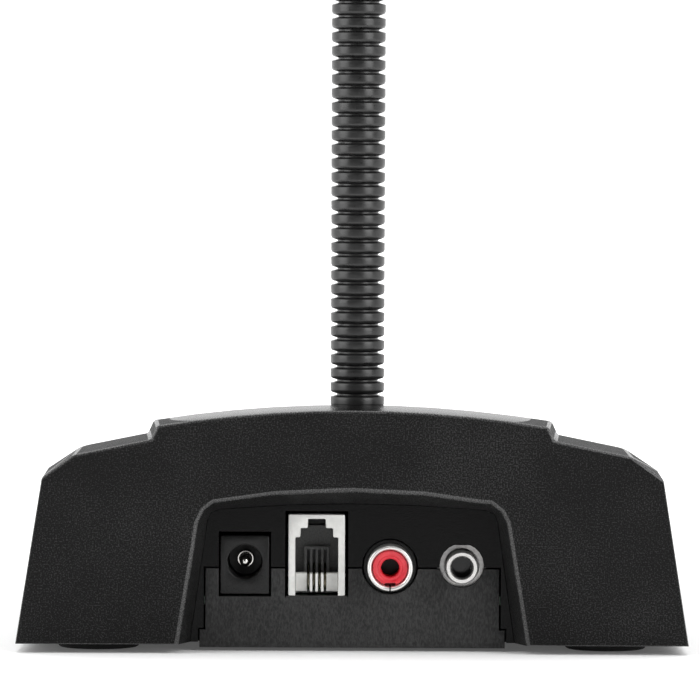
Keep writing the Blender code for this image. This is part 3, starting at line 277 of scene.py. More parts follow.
def tone(look, value, dark, light, start=0.3, end=0.7):
    """A colour that runs from dark to light as the value goes from start to end."""
    ramp = node(look, "ValToRGB", {"Fac": value})
    for point, place, colour in zip(ramp.color_ramp.elements, (start, end), (dark, light)):
        point.position = place
        point.color = (*colour, 1.0)
    return ramp.outputs["Color"]


def wire(look, socket, value):
    look.node_tree.links.new(value, shader_of(look).inputs[socket])


def relief(look, height, depth):
    """Bumps of this height pattern, as deep as depth in metres."""
    return node(look, "Bump", {"Height": height, "Distance": depth, "Strength": 1.0}).outputs["Normal"]


def grey(value, warmth=0.0):
    return (value * (1 + warmth), value, value * (1 - warmth))


# %% [markdown]
# ## Case plastic
# The case is black ABS from a tool whose walls are spark-eroded: a random field of tiny pits that scatters
# light and hides scratches. Two noises at about a third and a tenth of a millimetre make the pits. The
# recess floor comes from a polished insert of the same tool, so there the pits fade out. There the colour
# is also painted down to its darkest tone, as painted shade in the recess, and faces that look straight up
# take the same smooth finish and dark colour.

# %% Case plastic
RECESS_FLOOR = (0.0330, REAR_Y - 0.0056, 0.0301)  # half its width, its depth and its top
LEVEL = 0.985  # how squarely a face looks up before it counts as a level one
COARSE_PITS, FINE_PITS, TONE_DRIFT = 3600.0, 9500.0, 26.0  # per metre


def polish_and_shade_share(look, where):
    """Smooth finish and painted shade: 1 on the floor of the rear recess and on faces that look straight up,
    and 0 elsewhere.
    """
    axes = node(look, "SeparateXYZ", {"Vector": where})
    aside = sums(look, "ABSOLUTE", axes.outputs["X"], 0.0)
    narrow = sums(look, "LESS_THAN", aside, RECESS_FLOOR[0])
    deep = sums(look, "LESS_THAN", axes.outputs["Y"], RECESS_FLOOR[1])
    low = sums(look, "LESS_THAN", axes.outputs["Z"], RECESS_FLOOR[2])
    floor_share = sums(look, "MULTIPLY", sums(look, "MULTIPLY", narrow, deep), low)
    facing = node(look, "SeparateXYZ", {"Vector": node(look, "TexCoord").outputs["Normal"]})
    level = sums(look, "GREATER_THAN", facing.outputs["Z"], LEVEL)
    return sums(look, "MAXIMUM", floor_share, level)


def eroded(
    name, dark, light, rough, pits, polished=False, stretch=(1.0, 1.0, 1.0), shine=0.2, flecks=(0.40, 0.62)
):
    """Plastic with a spark-eroded grain: rough is (least, most), and pits a depth in metres."""
    look = finish(name, Specular_IOR_Level=shine, IOR=1.5)
    where = place_of(look, stretch)
    coarse = noise(look, where, COARSE_PITS, 2.0, 0.6)
    fine = noise(look, where, FINE_PITS, 2.0, 0.6)
    drift = noise(look, where, TONE_DRIFT, 3.0, 0.6)
    grain = sums(look, "ADD", coarse, sums(look, "MULTIPLY", fine, 0.5))
    mixed = sums(look, "ADD", sums(look, "MULTIPLY", drift, 0.25), sums(look, "MULTIPLY", coarse, 0.75))
    roughness = between(look, mixed, *rough)
    fade = mixed
    if polished:
        # On the recess floor and on level faces the grain and roughness drop, and the colour is pushed to its
        # darkest tone: painted shade in the recess.
        left = sums(look, "SUBTRACT", 1.0, sums(look, "MULTIPLY", polish_and_shade_share(look, where), 0.88))
        grain = sums(look, "MULTIPLY", grain, left)
        fade = sums(look, "ADD", sums(look, "MULTIPLY", sums(look, "SUBTRACT", mixed, 0.45), left), 0.45)
        roughness = sums(look, "MULTIPLY", roughness, between(look, left, 0.42, 1.0, 0.12, 1.0))
    wire(look, "Base Color", tone(look, fade, grey(dark), grey(light), *flecks))
    wire(look, "Roughness", roughness)
    wire(look, "Normal", relief(look, grain, pits))
    return look


CASE = eroded(
    "case_plastic", 0.0030, 0.062, (0.42, 0.60), 0.00018, polished=True, shine=0.13, flecks=(0.50, 0.74)
)
# Finish for the cover's rounded edges: smoother and shinier than the case, with a lighter colour that is a
# painted highlight along the edges.
EDGE = eroded("case_edge_painted_highlight", 0.012, 0.050, (0.20, 0.32), 0.00004, shine=0.55)
TAB = eroded("tab_plastic", 0.018, 0.040, (0.46, 0.62), 0.00006, stretch=(1.0, 1.0, 0.40))
PANEL = eroded("panel_plastic", 0.030, 0.044, (0.34, 0.48), 0.00002)
SOCKET_BLACK = eroded("socket_plastic", 0.010, 0.016, (0.26, 0.38), 0.00001)
print("case finishes:", CASE.name, TAB.name, PANEL.name, SOCKET_BLACK.name)

# %% [markdown]
# ## Neck, rubber and foam
# The neck's sleeve is extruded and then rolled into ribs, so its flow lines run round it and it shines more
# than the case. Rubber feet are duller and slightly mottled. Foam scatters light inside its cells: a dark
# base with a faint sheen is close to it and far cheaper than a real volume.

# %% Neck, rubber and foam
NECK = finish("neck_plastic", Specular_IOR_Level=0.55, IOR=1.5)
neck_place = place_of(NECK, stretch=(1.0, 1.0, 3.0))
neck_mottle = noise(NECK, neck_place, 420.0, 4.0, 0.6)
wire(NECK, "Base Color", tone(NECK, neck_mottle, grey(0.010), grey(0.020)))
wire(NECK, "Roughness", between(NECK, neck_mottle, 0.26, 0.38))
wire(NECK, "Normal", relief(NECK, noise(NECK, neck_place, 3800.0), 0.000006))

RUBBER = finish("rubber", Specular_IOR_Level=0.30)
rubber_place = place_of(RUBBER)
rubber_mottle = noise(RUBBER, rubber_place, 900.0, 4.0, 0.65)
wire(RUBBER, "Base Color", tone(RUBBER, rubber_mottle, grey(0.014), grey(0.030)))
wire(RUBBER, "Roughness", between(RUBBER, rubber_mottle, 0.70, 0.88))
wire(RUBBER, "Normal", relief(RUBBER, noise(RUBBER, rubber_place, 5200.0), 0.00003))

FOAM = finish("foam", Specular_IOR_Level=0.15, Sheen_Weight=0.25, Sheen_Roughness=0.6)
foam_place = place_of(FOAM)
foam_cells = cells(FOAM, foam_place, 1900.0)
wire(FOAM, "Base Color", tone(FOAM, foam_cells, grey(0.004), grey(0.026), 0.15, 0.75))
wire(FOAM, "Roughness", between(FOAM, foam_cells, 0.88, 0.98))
wire(FOAM, "Normal", relief(FOAM, foam_cells, 0.00016))
print("soft finishes:", NECK.name, RUBBER.name, FOAM.name)

# %% [markdown]
# ## Metals
# Connector shells are turned brass under bright nickel: a mirror with faint lathe rings. Screws and the
# nut are zinc-plated steel, duller and streaked. The contacts are brass with a flash of gold.


# %% Metals
def plated(name, dark, light, rough, rings=0.0000015):
    """Metal with a cloudy tone and lathe rings of this depth in metres."""
    look = finish(name, Metallic=1.0)
    where = place_of(look)
    cloud = noise(look, where, 340.0, 4.0, 0.6)
    wire(look, "Base Color", tone(look, cloud, dark, light))
    wire(look, "Roughness", between(look, cloud, *rough))
    lathe = node(look, "TexNoise", {"Vector": place_of(look, (0.12, 1.0, 0.12)), "Scale": 5200.0})
    wire(look, "Normal", relief(look, lathe.outputs["Fac"], rings))
    return look


DULL = plated("dull_nickel", (0.16, 0.16, 0.16), (0.62, 0.61, 0.60), (0.22, 0.42))
NICKEL = plated("nickel", (0.62, 0.61, 0.58), (0.78, 0.77, 0.74), (0.10, 0.20))
SATIN = plated("satin_nickel", (0.74, 0.73, 0.71), (0.86, 0.85, 0.83), (0.34, 0.44), rings=0.000002)
STEEL = plated("steel", (0.36, 0.36, 0.37), (0.55, 0.55, 0.56), (0.28, 0.42), rings=0.000004)
BRASS = plated("brass", (0.66, 0.48, 0.20), (0.86, 0.67, 0.34), (0.16, 0.28))
CONTACT = plated("contact_gold", (0.80, 0.70, 0.50), (0.92, 0.86, 0.70), (0.12, 0.22))
print("metals:", NICKEL.name, SATIN.name, STEEL.name, BRASS.name, CONTACT.name)

# %% [markdown]
# ## Inside and small parts
# A circuit board is glass cloth under green lacquer with copper under it: the cloth shows as a fine weave
# and the copper as paler lanes. The jack frame is a pale moulded nylon, the phono core a red insulator.

# %% Boards, frames and lenses
BOARD = finish("circuit_board", Specular_IOR_Level=0.5, Coat_Weight=0.35, Coat_Roughness=0.18)
board_place = place_of(BOARD)
board_lanes = node(
    BOARD,
    "TexBrick",
    {
        "Vector": board_place,
        "Color1": (0.014, 0.100, 0.040, 1.0),
        "Color2": (0.020, 0.135, 0.052, 1.0),
        "Mortar": (0.040, 0.220, 0.090, 1.0),
        "Scale": 150.0,
        "Mortar Size": 0.035,
        "Mortar Smooth": 0.2,
    },
)
wire(BOARD, "Base Color", board_lanes.outputs["Color"])
board_weave = node(BOARD, "TexChecker", {"Vector": board_place, "Scale": 2600.0}).outputs["Fac"]
wire(BOARD, "Roughness", between(BOARD, noise(BOARD, board_place, 700.0), 0.32, 0.46))
wire(BOARD, "Normal", relief(BOARD, board_weave, 0.000008))


def moulded(name, dark, light, rough, **sockets):
    """A smooth moulding: a slow drift of tone and a faint orange peel."""
    look = finish(name, **sockets)
    where = place_of(look)
    cloud = noise(look, where, 600.0, 4.0, 0.6)
    wire(look, "Base Color", tone(look, cloud, dark, light))
    wire(look, "Roughness", between(look, cloud, *rough))
    wire(look, "Normal", relief(look, noise(look, where, 4200.0), 0.000006))
    return look


FRAME_GREY = moulded("jack_frame", (0.60, 0.60, 0.58), (0.72, 0.72, 0.70), (0.36, 0.50))
CORE_RED = moulded("phono_core", (0.56, 0.020, 0.034), (0.70, 0.040, 0.056), (0.28, 0.40))
KEY_GREY = moulded("button_grey", grey(0.24), grey(0.31, 0.01), (0.40, 0.52))
LENS = moulded("lens", (0.03, 0.36, 0.09), (0.06, 0.52, 0.15), (0.10, 0.18), Coat_Weight=0.6)
print("small finishes:", BOARD.name, FRAME_GREY.name, CORE_RED.name, KEY_GREY.name, LENS.name)

# %% [markdown]
# ## Dress the model's own pieces
# Pieces that need no new shape keep the model's mesh and only take a finish: screws, boards, switches and
# the rest of the inside. They are what shows when the covers come off.

# %% Finishes on the model's own pieces
SLOT_LOOKS = {
    "case_plastic": CASE,
    "panel_plastic": PANEL,
    "neck_plastic": NECK,
    "rubber": RUBBER,
    "foam": FOAM,
    "nickel": NICKEL,
    "steel": STEEL,
    "brass": BRASS,
    "circuit_board": BOARD,
    "socket_black": SOCKET_BLACK,
    "socket_grey": FRAME_GREY,
    "socket_red": CORE_RED,
    "button_grey": KEY_GREY,
    "lens_green": LENS,
}
for name, slot_name in NODE_SLOT.items():
    frame["nodes"][name].data.materials.append(SLOT_LOOKS[slot_name])
print("dressed", len(NODE_SLOT), "model pieces in", len(SLOT_LOOKS), "finishes")

# %% [markdown]
# ## The top cover
# The cover is one injection-moulded shell. Moulders never leave an edge sharp: the outline of the rear
# face is broken to half a millimetre and the lips of the recess to a little more, and those small rounds
# catch all the light there is. Those edges, and the ones that run along the sides of the slope, are rounded
# here by giving them a bevel weight; a bevel by angle would round the inside of the shell as well.

# %% Top cover
cover = copied("top_cover", "top_cover_shell")
# The bevel's faces take the edge finish, whose lighter colour is a painted highlight.
cover.data.materials.append(EDGE)
MOUTH_HALF = 0.0335
MOUTH_TOP = 0.0305
SIDE_FROM = 0.034
SIDE_ABOVE = 0.015
NEAR = 0.0002
LIP_SHARE, OUTLINE_SHARE, RIM_SHARE = 1.0, 0.8, 0.3


def on_rear(point):
    return abs(point.y - REAR_Y) < NEAR


def at_mouth(point):
    return abs(point.x) < MOUTH_HALF and point.z < MOUTH_TOP


def edge_share(edge, points):
    """How much of the bevel's full width an edge of the cover gets."""
    first, second = (points[v].co for v in edge.vertices)
    if on_rear(first) and on_rear(second):
        if at_mouth(first) and at_mouth(second):
            return LIP_SHARE
        return OUTLINE_SHARE if min(first.z, second.z) > RIM_Z + NEAR else RIM_SHARE
    outside = all(p.z > RIM_Z + NEAR and not at_mouth(p) for p in (first, second))
    along = abs((second - first).normalized().y) > 0.9
    if outside and along and min(abs(first.x), abs(second.x)) > SIDE_FROM and first.z > SIDE_ABOVE:
        return OUTLINE_SHARE
    return 0.0


weights = cover.data.attributes.new("bevel_weight_edge", "FLOAT", "EDGE")
for edge in cover.data.edges:
    weights.data[edge.index].value = edge_share(edge, cover.data.vertices)
finish_modifier(
    cover, "BEVEL", width=0.0006, segments=4, limit_method="WEIGHT", use_clamp_overlap=False, material=1
)
smooth(cover, 32.0)
wear(cover, CASE, "base", "top_cover", slot="case_plastic", second=EDGE)
print("top cover:", len(cover.data.polygons), "faces")

# %% [markdown]
# ## Feet, panel, buttons and knob
# These are small mouldings whose edges are all rounded alike, so one bevel by angle does each of them.

# %% Small mouldings with rounded edges
SOFT_PIECES = [
    ("control_panel", "panel_face", 0.00035, PANEL, "base"),
    ("talk_button", "talk_key", 0.00060, KEY_GREY, "talk_button"),
    ("chime_button", "chime_key", 0.00050, KEY_GREY, "chime_button"),
    ("volume_knob", "volume_knob_cap", 0.00030, CASE, "volume_knob"),
    ("head_housing", "head_housing_shell", 0.00030, CASE, "head"),
]
for n in range(1, 5):
    SOFT_PIECES.append((f"foot_{n}", f"foot_pad_{n}", 0.00035, RUBBER, "base"))
for source, name, width, look, body in SOFT_PIECES:
    piece = softened(source, name, width)
    wear(piece, look, body, source, slot=NODE_SLOT[source])
print("rounded", len(SOFT_PIECES), "small mouldings")

# %% [markdown]
# ## A shape turned on a lathe
# Rings, ribs and domes are all turned shapes. A single point is walked along the half-section, one
# extrusion for each corner, and the finished line is then swept right round the axis.


# %% Helper for turned pieces
def turned(name, section, sides, foot=(0.0, 0.0, 0.0), axis="Z", closed=False):
    """Sweeps a half-section of (radius, height) points round an upright or a rearward axis."""
    start_clean()
    bpy.ops.mesh.primitive_plane_add(size=0.002)
    piece = bpy.context.object
    bpy.ops.object.mode_set(mode="EDIT")
    bpy.ops.mesh.select_all(action="SELECT")
    bpy.ops.mesh.merge(type="CENTER")
    previous = Vector((0.0, 0.0, 0.0))
    for index, (radius, height) in enumerate([*section, section[0]] if closed else section):
        point = Vector((radius, 0.0, height))
        if index:
            bpy.ops.mesh.extrude_region_move(TRANSFORM_OT_translate={"value": point - previous})
        else:
            bpy.ops.transform.translate(value=point)
        previous = point
    bpy.ops.mesh.select_all(action="SELECT")
    bpy.ops.mesh.remove_doubles(threshold=0.0000005)
    bpy.ops.object.mode_set(mode="OBJECT")
    finish_modifier(
        piece,
        "SCREW",
        angle=math.tau,
        steps=sides,
        render_steps=sides,
        axis="Z",
        use_merge_vertices=True,
        merge_threshold=0.0000005,
    )
    if axis == "Y":
        piece.rotation_euler = (math.radians(-90), 0.0, 0.0)
    piece.location = foot
    settle(piece, name)
    face_outwards(piece)
    return piece


# %% [markdown]
# ## The bottom cover and its socket tab
# The tab that closes the recess belongs to the bottom cover. Its tool was polished in one direction, up and
# down, so its grain is drawn out that way. Only the tab's own edges are broken here.

# %% Bottom cover
bottom = copied("bottom_cover", "bottom_cover_plate")
TAB_FACE_Y = max(v.co.y for v in bottom.data.vertices if v.co.z > 0.012)
weights = bottom.data.attributes.new("bevel_weight_edge", "FLOAT", "EDGE")
for edge in bottom.data.edges:
    ends = [bottom.data.vertices[v].co for v in edge.vertices]
    weights.data[edge.index].value = float(all(abs(p.y - TAB_FACE_Y) < 0.0001 for p in ends))
finish_modifier(bottom, "BEVEL", width=0.00016, segments=2, limit_method="WEIGHT", use_clamp_overlap=False)
smooth(bottom, 32.0)
wear(bottom, TAB, "base", "bottom_cover", slot="case_plastic")
print("bottom cover:", len(bottom.data.polygons), "faces, tab face at", round(TAB_FACE_Y * 1000, 2))


# %% [markdown]
# ## Power socket
# The power socket is a black nylon block with rounded edges and a round hole. Its pin has a domed tip, so
# that it finds its way into the plug, and stands in a raised collar at the bottom of the hole.


# %% Helpers for blocks and cuts
def block(name, low, high, width=0.0):
    """A box between two corners, with its edges rounded to this width."""
    start_clean()
    bpy.ops.mesh.primitive_cube_add(size=1.0)
    piece = bpy.context.object
    piece.scale = [b - a for a, b in zip(low, high)]
    piece.location = [(a + b) / 2 for a, b in zip(low, high)]
    settle(piece, name)
    if width:
        finish_modifier(piece, "BEVEL", width=width, segments=3, limit_method="ANGLE")
    return piece


def combine(piece, tool, operation="DIFFERENCE"):
    """Cuts the tool from the piece, or joins it on, and throws the tool away."""
    finish_modifier(piece, "BOOLEAN", object=tool, operation=operation, solver="EXACT")
    bpy.data.objects.remove(tool)


# %% Power socket
power = softened("power_jack_body", "power_socket", 0.00030, 40.0)
wear(power, SOCKET_BLACK, "base", "power_jack_body", slot="socket_black")

pin_low, pin_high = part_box("power_jack_pin")
pin_r = (pin_high.x - pin_low.x) / 2
pin_at = ((pin_low.x + pin_high.x) / 2, 0.0, (pin_low.z + pin_high.z) / 2)
PIN_DOME = 0.0016
pin_side = [
    (pin_r * math.sin(math.radians(a)), pin_high.y - PIN_DOME + PIN_DOME * math.cos(math.radians(a)))
    for a in range(0, 91, 10)
]
pin_side += [(pin_r, pin_low.y + 0.0022), (pin_r + 0.00005, pin_low.y + 0.0021), (pin_r + 0.00005, pin_low.y)]
pin = turned("power_pin", [*pin_side, (0.0, pin_low.y)], 48, pin_at, axis="Y")
smooth(pin, 40.0)
wear(pin, NICKEL, "base", "power_jack_pin", slot="nickel")
collar_y = pin_low.y + 0.0021
collar_side = [(0.00112, collar_y), (0.00112, collar_y + 0.0008), (0.00126, collar_y + 0.0010)]
collar_side += [(0.00142, collar_y + 0.0010), (0.00150, collar_y + 0.0008), (0.00150, collar_y)]
collar = turned("power_pin_collar", collar_side, 48, pin_at, axis="Y", closed=True)
smooth(collar, 40.0)
wear(collar, NICKEL, "base", slot="nickel")
print("power socket with a pin of radius", round(pin_r * 1000, 2), "mm")

# %% [markdown]
# ## Modular socket
# The modular socket is two mouldings: a pale frame that the plug slides into, and a dark carrier at its
# back that holds four sprung wires in slots. A sill at the front keeps the wires apart. The sill is made as
# a block with four slots cut through it, which leaves the slim bars between them standing. The back wall of
# the frame's cavity and its latch well are dark blocks: painted shade in the cavity.

# %% Modular socket's frame and sill
jack = softened("link_jack_body", "modular_socket_frame", 0.00028, 40.0)
jack_low, jack_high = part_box("link_jack_body")
JACK_X = (jack_low.x + jack_high.x) / 2
JACK_HALF = 0.00392
WIRE_PITCH = 0.00102
wire_x = [JACK_X + (n - 1.5) * WIRE_PITCH for n in range(4)]
front = jack_high.y
notch = block(
    "sill_notch",
    (JACK_X - JACK_HALF, front - 0.0070, jack_low.z - 0.0010),
    (JACK_X + JACK_HALF, front + 0.0010, jack_low.z + 0.0011),
)
combine(jack, notch)
smooth(jack, 40.0)
wear(jack, FRAME_GREY, "base", "link_jack_body", slot="socket_grey")
sill = block(
    "modular_socket_sill",
    (JACK_X - JACK_HALF, front - 0.0052, jack_low.z + 0.00065),
    (JACK_X + JACK_HALF, front - 0.0022, jack_low.z + 0.00395),
    0.00012,
)
for n, x in enumerate(wire_x):
    slot_cut = block(
        f"sill_slot_{n}",
        (x - 0.00026, front - 0.0060, jack_low.z - 0.001),
        (x + 0.00026, front + 0.001, jack_low.z + 0.005),
    )
    combine(sill, slot_cut)
smooth(sill, 40.0)
wear(sill, FRAME_GREY, "base", slot="socket_grey")
for n in range(3):
    x = (wire_x[n] + wire_x[n + 1]) / 2
    bar = block(
        f"modular_socket_bar_{n + 1}",
        (x - 0.00023, front - 0.0030, jack_low.z + 0.00065),
        (x + 0.00023, front - 0.0010, jack_low.z + 0.00400),
        0.00018,
    )
    smooth(bar, 40.0)
    wear(bar, FRAME_GREY, "base", slot="socket_grey")
print("modular socket: frame, sill and bars")

# %% Modular socket's carrier and wires
CARRIER_AND_SHADE = eroded("carrier_plastic_and_painted_shade", 0.045, 0.070, (0.40, 0.50), 0.00001)
# Painted shade: the cavity's back wall is a dark block in the carrier's colour, where the pale frame lies in
# shade.
back = block(
    "modular_socket_back_painted_shade",
    (JACK_X - JACK_HALF, front - 0.0121, jack_low.z + 0.0010),
    (JACK_X + JACK_HALF, front - 0.0070, jack_low.z + 0.0107),
)
back_top = block(
    "back_top",
    (JACK_X - 0.00297, front - 0.0121, jack_low.z + 0.0100),
    (JACK_X + 0.00297, front - 0.0070, jack_low.z + 0.0124),
)
combine(back, back_top, "UNION")
# Painted shade: a black plate at the back of the latch well, where the pale frame lies in shade.
latch_well_shade_plate = block(
    "modular_socket_latch_well_painted_shade",
    (JACK_X - 0.00160, front - 0.0121, jack_low.z + 0.01245),
    (JACK_X + 0.00160, front - 0.0090, jack_low.z + 0.01405),
)
wear(latch_well_shade_plate, SOCKET_BLACK, "base", slot="socket_black")
ledge = block(
    "socket_tab_ledge",
    (JACK_X - 0.0056, front - 0.0034, jack_low.z - 0.0008),
    (JACK_X + 0.0056, front - 0.0006, jack_low.z - 0.00008),
    0.00008,
)
wear(ledge, PANEL, "base", slot="case_plastic")
carrier = block(
    "modular_socket_carrier",
    (JACK_X - 0.00233, front - 0.0100, jack_low.z + 0.0012),
    (JACK_X + 0.00233, front - 0.0052, jack_low.z + 0.0087),
    0.00015,
)
for n, x in enumerate(wire_x):
    slot_cut = block(
        f"carrier_slot_{n}",
        (x - 0.00030, front - 0.0085, jack_low.z - 0.001),
        (x + 0.00030, front + 0.001, jack_low.z + 0.0081),
    )
    combine(carrier, slot_cut)
for piece in (back, carrier):
    smooth(piece, 40.0)
    wear(piece, CARRIER_AND_SHADE, "base", slot="socket_black")

WIRE_PATH = [(-0.0082, 0.0074), (-0.0076, 0.0058), (-0.0060, 0.0042), (-0.0046, 0.0031)]
WIRE_PATH += [(-0.0034, 0.0025), (-0.0030, 0.0020), (-0.0036, 0.0013), (-0.0048, 0.0009)]
for n, x in enumerate(wire_x):
    start_clean()
    bpy.ops.curve.primitive_nurbs_path_add()
    wire_piece = bpy.context.object
    wire_piece.data.splines.clear()
    spline = wire_piece.data.splines.new("NURBS")
    spline.points.add(len(WIRE_PATH) - 1)
    for point, (depth, height) in zip(spline.points, WIRE_PATH):
        point.co = (x, front + depth, jack_low.z + height, 1.0)
    spline.use_endpoint_u = True
    spline.order_u = 4
    wire_piece.data.dimensions = "3D"
    wire_piece.data.bevel_depth = 0.00019
    wire_piece.data.bevel_resolution = 3
    wire_piece.data.use_fill_caps = True
    bpy.ops.object.convert(target="MESH")
    settle(wire_piece, f"modular_socket_wire_{n + 1}")
    face_outwards(wire_piece)
    smooth(wire_piece, 50.0)
    nodes = ["link_jack_contacts"] if n == 0 else []
    wear(wire_piece, CONTACT, "base", *nodes, slot="brass")
print("modular socket: carrier and", len(wire_x), "wires")

# %% [markdown]
# ## Phono socket
# The ring is rolled from plated sheet, so it has a seam at the bottom where the two ends turn in and do not
# quite meet. The red core has a small keyway at the same place that stops it from turning. The flange
# behind the ring is coloured black as painted shade for the depth of the panel's hole, so only the ring
# shines.

# %% Phono socket
shell_low, shell_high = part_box("phono_jack_shell")
PHONO = ((shell_low.x + shell_high.x) / 2, 0.0, (shell_low.z + shell_high.z) / 2)
ring_front = shell_high.y
flange_front = ring_front - 0.0058
RING_LIP = [(0.00336, 0.00045), (0.00348, 0.00018), (0.00362, 0.00004), (0.00380, 0.0), (0.00396, 0.00002)]
RING_LIP += [(0.00408, 0.00010), (0.00415, 0.00028), (0.00416, 0.0005)]
ring_side = [(0.00336, flange_front - 0.0008)]
ring_side += [(radius, ring_front - back_by) for radius, back_by in RING_LIP]
ring_side += [(0.00416, flange_front - 0.0008)]
ring = turned("phono_ring", ring_side, 96, PHONO, axis="Y", closed=True)
seam = block(
    "seam",
    (PHONO[0] - 0.00014, flange_front - 0.01, PHONO[2] - 0.006),
    (PHONO[0] + 0.00014, ring_front + 0.01, PHONO[2] - 0.002),
)
combine(ring, seam)
smooth(ring, 40.0)
wear(ring, SATIN, "base", "phono_jack_shell", slot="nickel")
for side in (-1, 1):
    fold = block(
        f"phono_seam_fold_{'left' if side > 0 else 'right'}",
        (-0.00048, ring_front - 0.0045, -0.00011),
        (0.00048, ring_front - 0.0004, 0.00011),
        0.00006,
    )
    pick(fold)
    fold.rotation_euler = (0.0, side * math.radians(-27), 0.0)
    fold.location = (PHONO[0] + side * 0.00068, 0.0, PHONO[2] - 0.00355)
    settle(fold, fold.name)
    wear(fold, SATIN, "base", slot="nickel")
flange_side = [(0.00422, flange_front), (0.00478, flange_front), (0.00484, flange_front - 0.00006)]
flange_side += [(0.00484, flange_front - 0.00095), (0.00422, flange_front - 0.00095)]
flange = turned("phono_flange_painted_shade", flange_side, 96, PHONO, axis="Y", closed=True)
smooth(flange, 40.0)
# Painted shade: the flange takes a black finish for the depth of the panel's hole.
wear(flange, SOCKET_BLACK, "base", slot="socket_black")

core_low, core_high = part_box("phono_jack_insulator")
CORE_R = 0.00322
core_side = [(0.00168, core_high.y - 0.0072), (0.00168, core_high.y - 0.00022), (0.00186, core_high.y)]
core_side += [(0.00222, core_high.y), (0.00230, core_high.y - 0.00008), (0.00240, core_high.y)]
core_side += [(CORE_R - 0.00014, core_high.y), (CORE_R, core_high.y - 0.00014)]
core_side += [(CORE_R, core_high.y - 0.0072)]
core = turned("phono_core", core_side, 96, PHONO, axis="Y", closed=True)
keyway = block(
    "keyway",
    (PHONO[0] - 0.00100, core_high.y - 0.0030, PHONO[2] - 0.0040),
    (PHONO[0] + 0.00100, core_high.y + 0.0010, PHONO[2] - 0.00270),
)
combine(core, keyway)
smooth(core, 40.0)
wear(core, CORE_RED, "base", "phono_jack_insulator", slot="socket_red")
body = block(
    "phono_socket_block", core_low, (core_high.x, core_high.y - 0.0066, core_high.z), 0.0003
)
wear(body, SOCKET_BLACK, "base", slot="socket_black")
grip_side = [(0.0, core_low.y + 0.0042), (0.00100, core_low.y + 0.0042), (0.00100, core_low.y + 0.0080)]
grip_side += [(0.00140, core_low.y + 0.0080), (0.00140, core_low.y + 0.0038), (0.0, core_low.y + 0.0038)]
grip = turned("phono_contact", grip_side, 48, PHONO, axis="Y")
smooth(grip, 40.0)
wear(grip, BRASS, "base", "phono_jack_contact", slot="brass")
print("phono socket: ring, flange, core, contact and block")

# %% [markdown]
# ## Small round socket
# This socket's threaded bushing ends in a plain turned ring with a lead-in, and the bore behind it is a
# glossy black liner. The plated block that carries it shows round it through the panel's hole.

# %% Small round socket
bush_low, bush_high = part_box("mini_jack_bushing")
MINI = ((bush_low.x + bush_high.x) / 2, 0.0, (bush_low.z + bush_high.z) / 2)
bush_front = bush_high.y
bush_side = [(0.00205, bush_low.y), (0.00205, bush_front - 0.00045), (0.00216, bush_front - 0.00006)]
bush_side += [(0.00222, bush_front), (0.00276, bush_front), (0.00290, bush_front - 0.00014)]
bush_side += [(0.00296, bush_front - 0.00035), (0.00296, bush_low.y)]
bush = turned("round_socket_bushing", bush_side, 96, MINI, axis="Y", closed=True)
smooth(bush, 40.0)
wear(bush, SATIN, "base", "mini_jack_bushing", slot="nickel")
liner_side = [(0.0, bush_low.y + 0.0004), (0.00190, bush_low.y + 0.0004), (0.00190, bush_front - 0.0012)]
liner_side += [(0.00204, bush_front - 0.0012), (0.00204, bush_low.y), (0.0, bush_low.y)]
liner = turned("round_socket_liner", liner_side, 64, MINI, axis="Y")
smooth(liner, 40.0)
LINER = moulded("liner_black", grey(0.002), grey(0.004), (0.08, 0.14), Specular_IOR_Level=0.35)
wear(liner, LINER, "base", slot="socket_black")
frame["nodes"]["mini_jack_body"].data.materials[0] = DULL
print("small round socket: bushing and liner")

# %% [markdown]
# ## The ribbed neck
# A gooseneck is a tube of spring wire inside a ribbed sleeve. The sleeve's ribs have a flat band, a slope
# on either side and a groove between. Each length here is centred on one hinge of the model and stays where
# it is made, on no body; one length is parted at its middle groove instead, with a half on each body.
# Lengths meet in the groove floors, where no seam can be seen.

# %% One length of the neck
RIB_PITCH = 0.0026
NECK_R = 0.0050
GROOVE_R = 0.0038
BORE_R = 0.0030
NECK_SIDES = 64

# Radius and height up one rib: half a groove, a long rounded underside, the band, a steep top, half a groove
RIB = [(GROOVE_R, 0.0), (GROOVE_R, 0.00013), (0.00470, 0.00042), (0.00486, 0.00056)]
RIB += [(0.00494, 0.00070), (NECK_R - 0.00001, 0.00086), (NECK_R, 0.00100), (NECK_R, 0.00150)]
RIB += [(NECK_R, 0.00206), (0.00497, 0.00214), (0.00490, 0.00219), (GROOVE_R, RIB_PITCH - 0.00013)]


def rib(low):
    return [(radius, low + height) for radius, height in RIB]


def neck_length(name, low, count, place):
    """A tube of this many ribs, upright over a place and starting at a height."""
    section = [point for n in range(count) for point in rib(low + n * RIB_PITCH)]
    top = low + count * RIB_PITCH
    section += [(GROOVE_R, top), (BORE_R, top), (BORE_R, low)]
    piece = turned(name, section, NECK_SIDES, (place.x, place.y, 0.0), closed=True)
    smooth(piece, 24.0)
    piece.data.materials.append(NECK)
    return piece


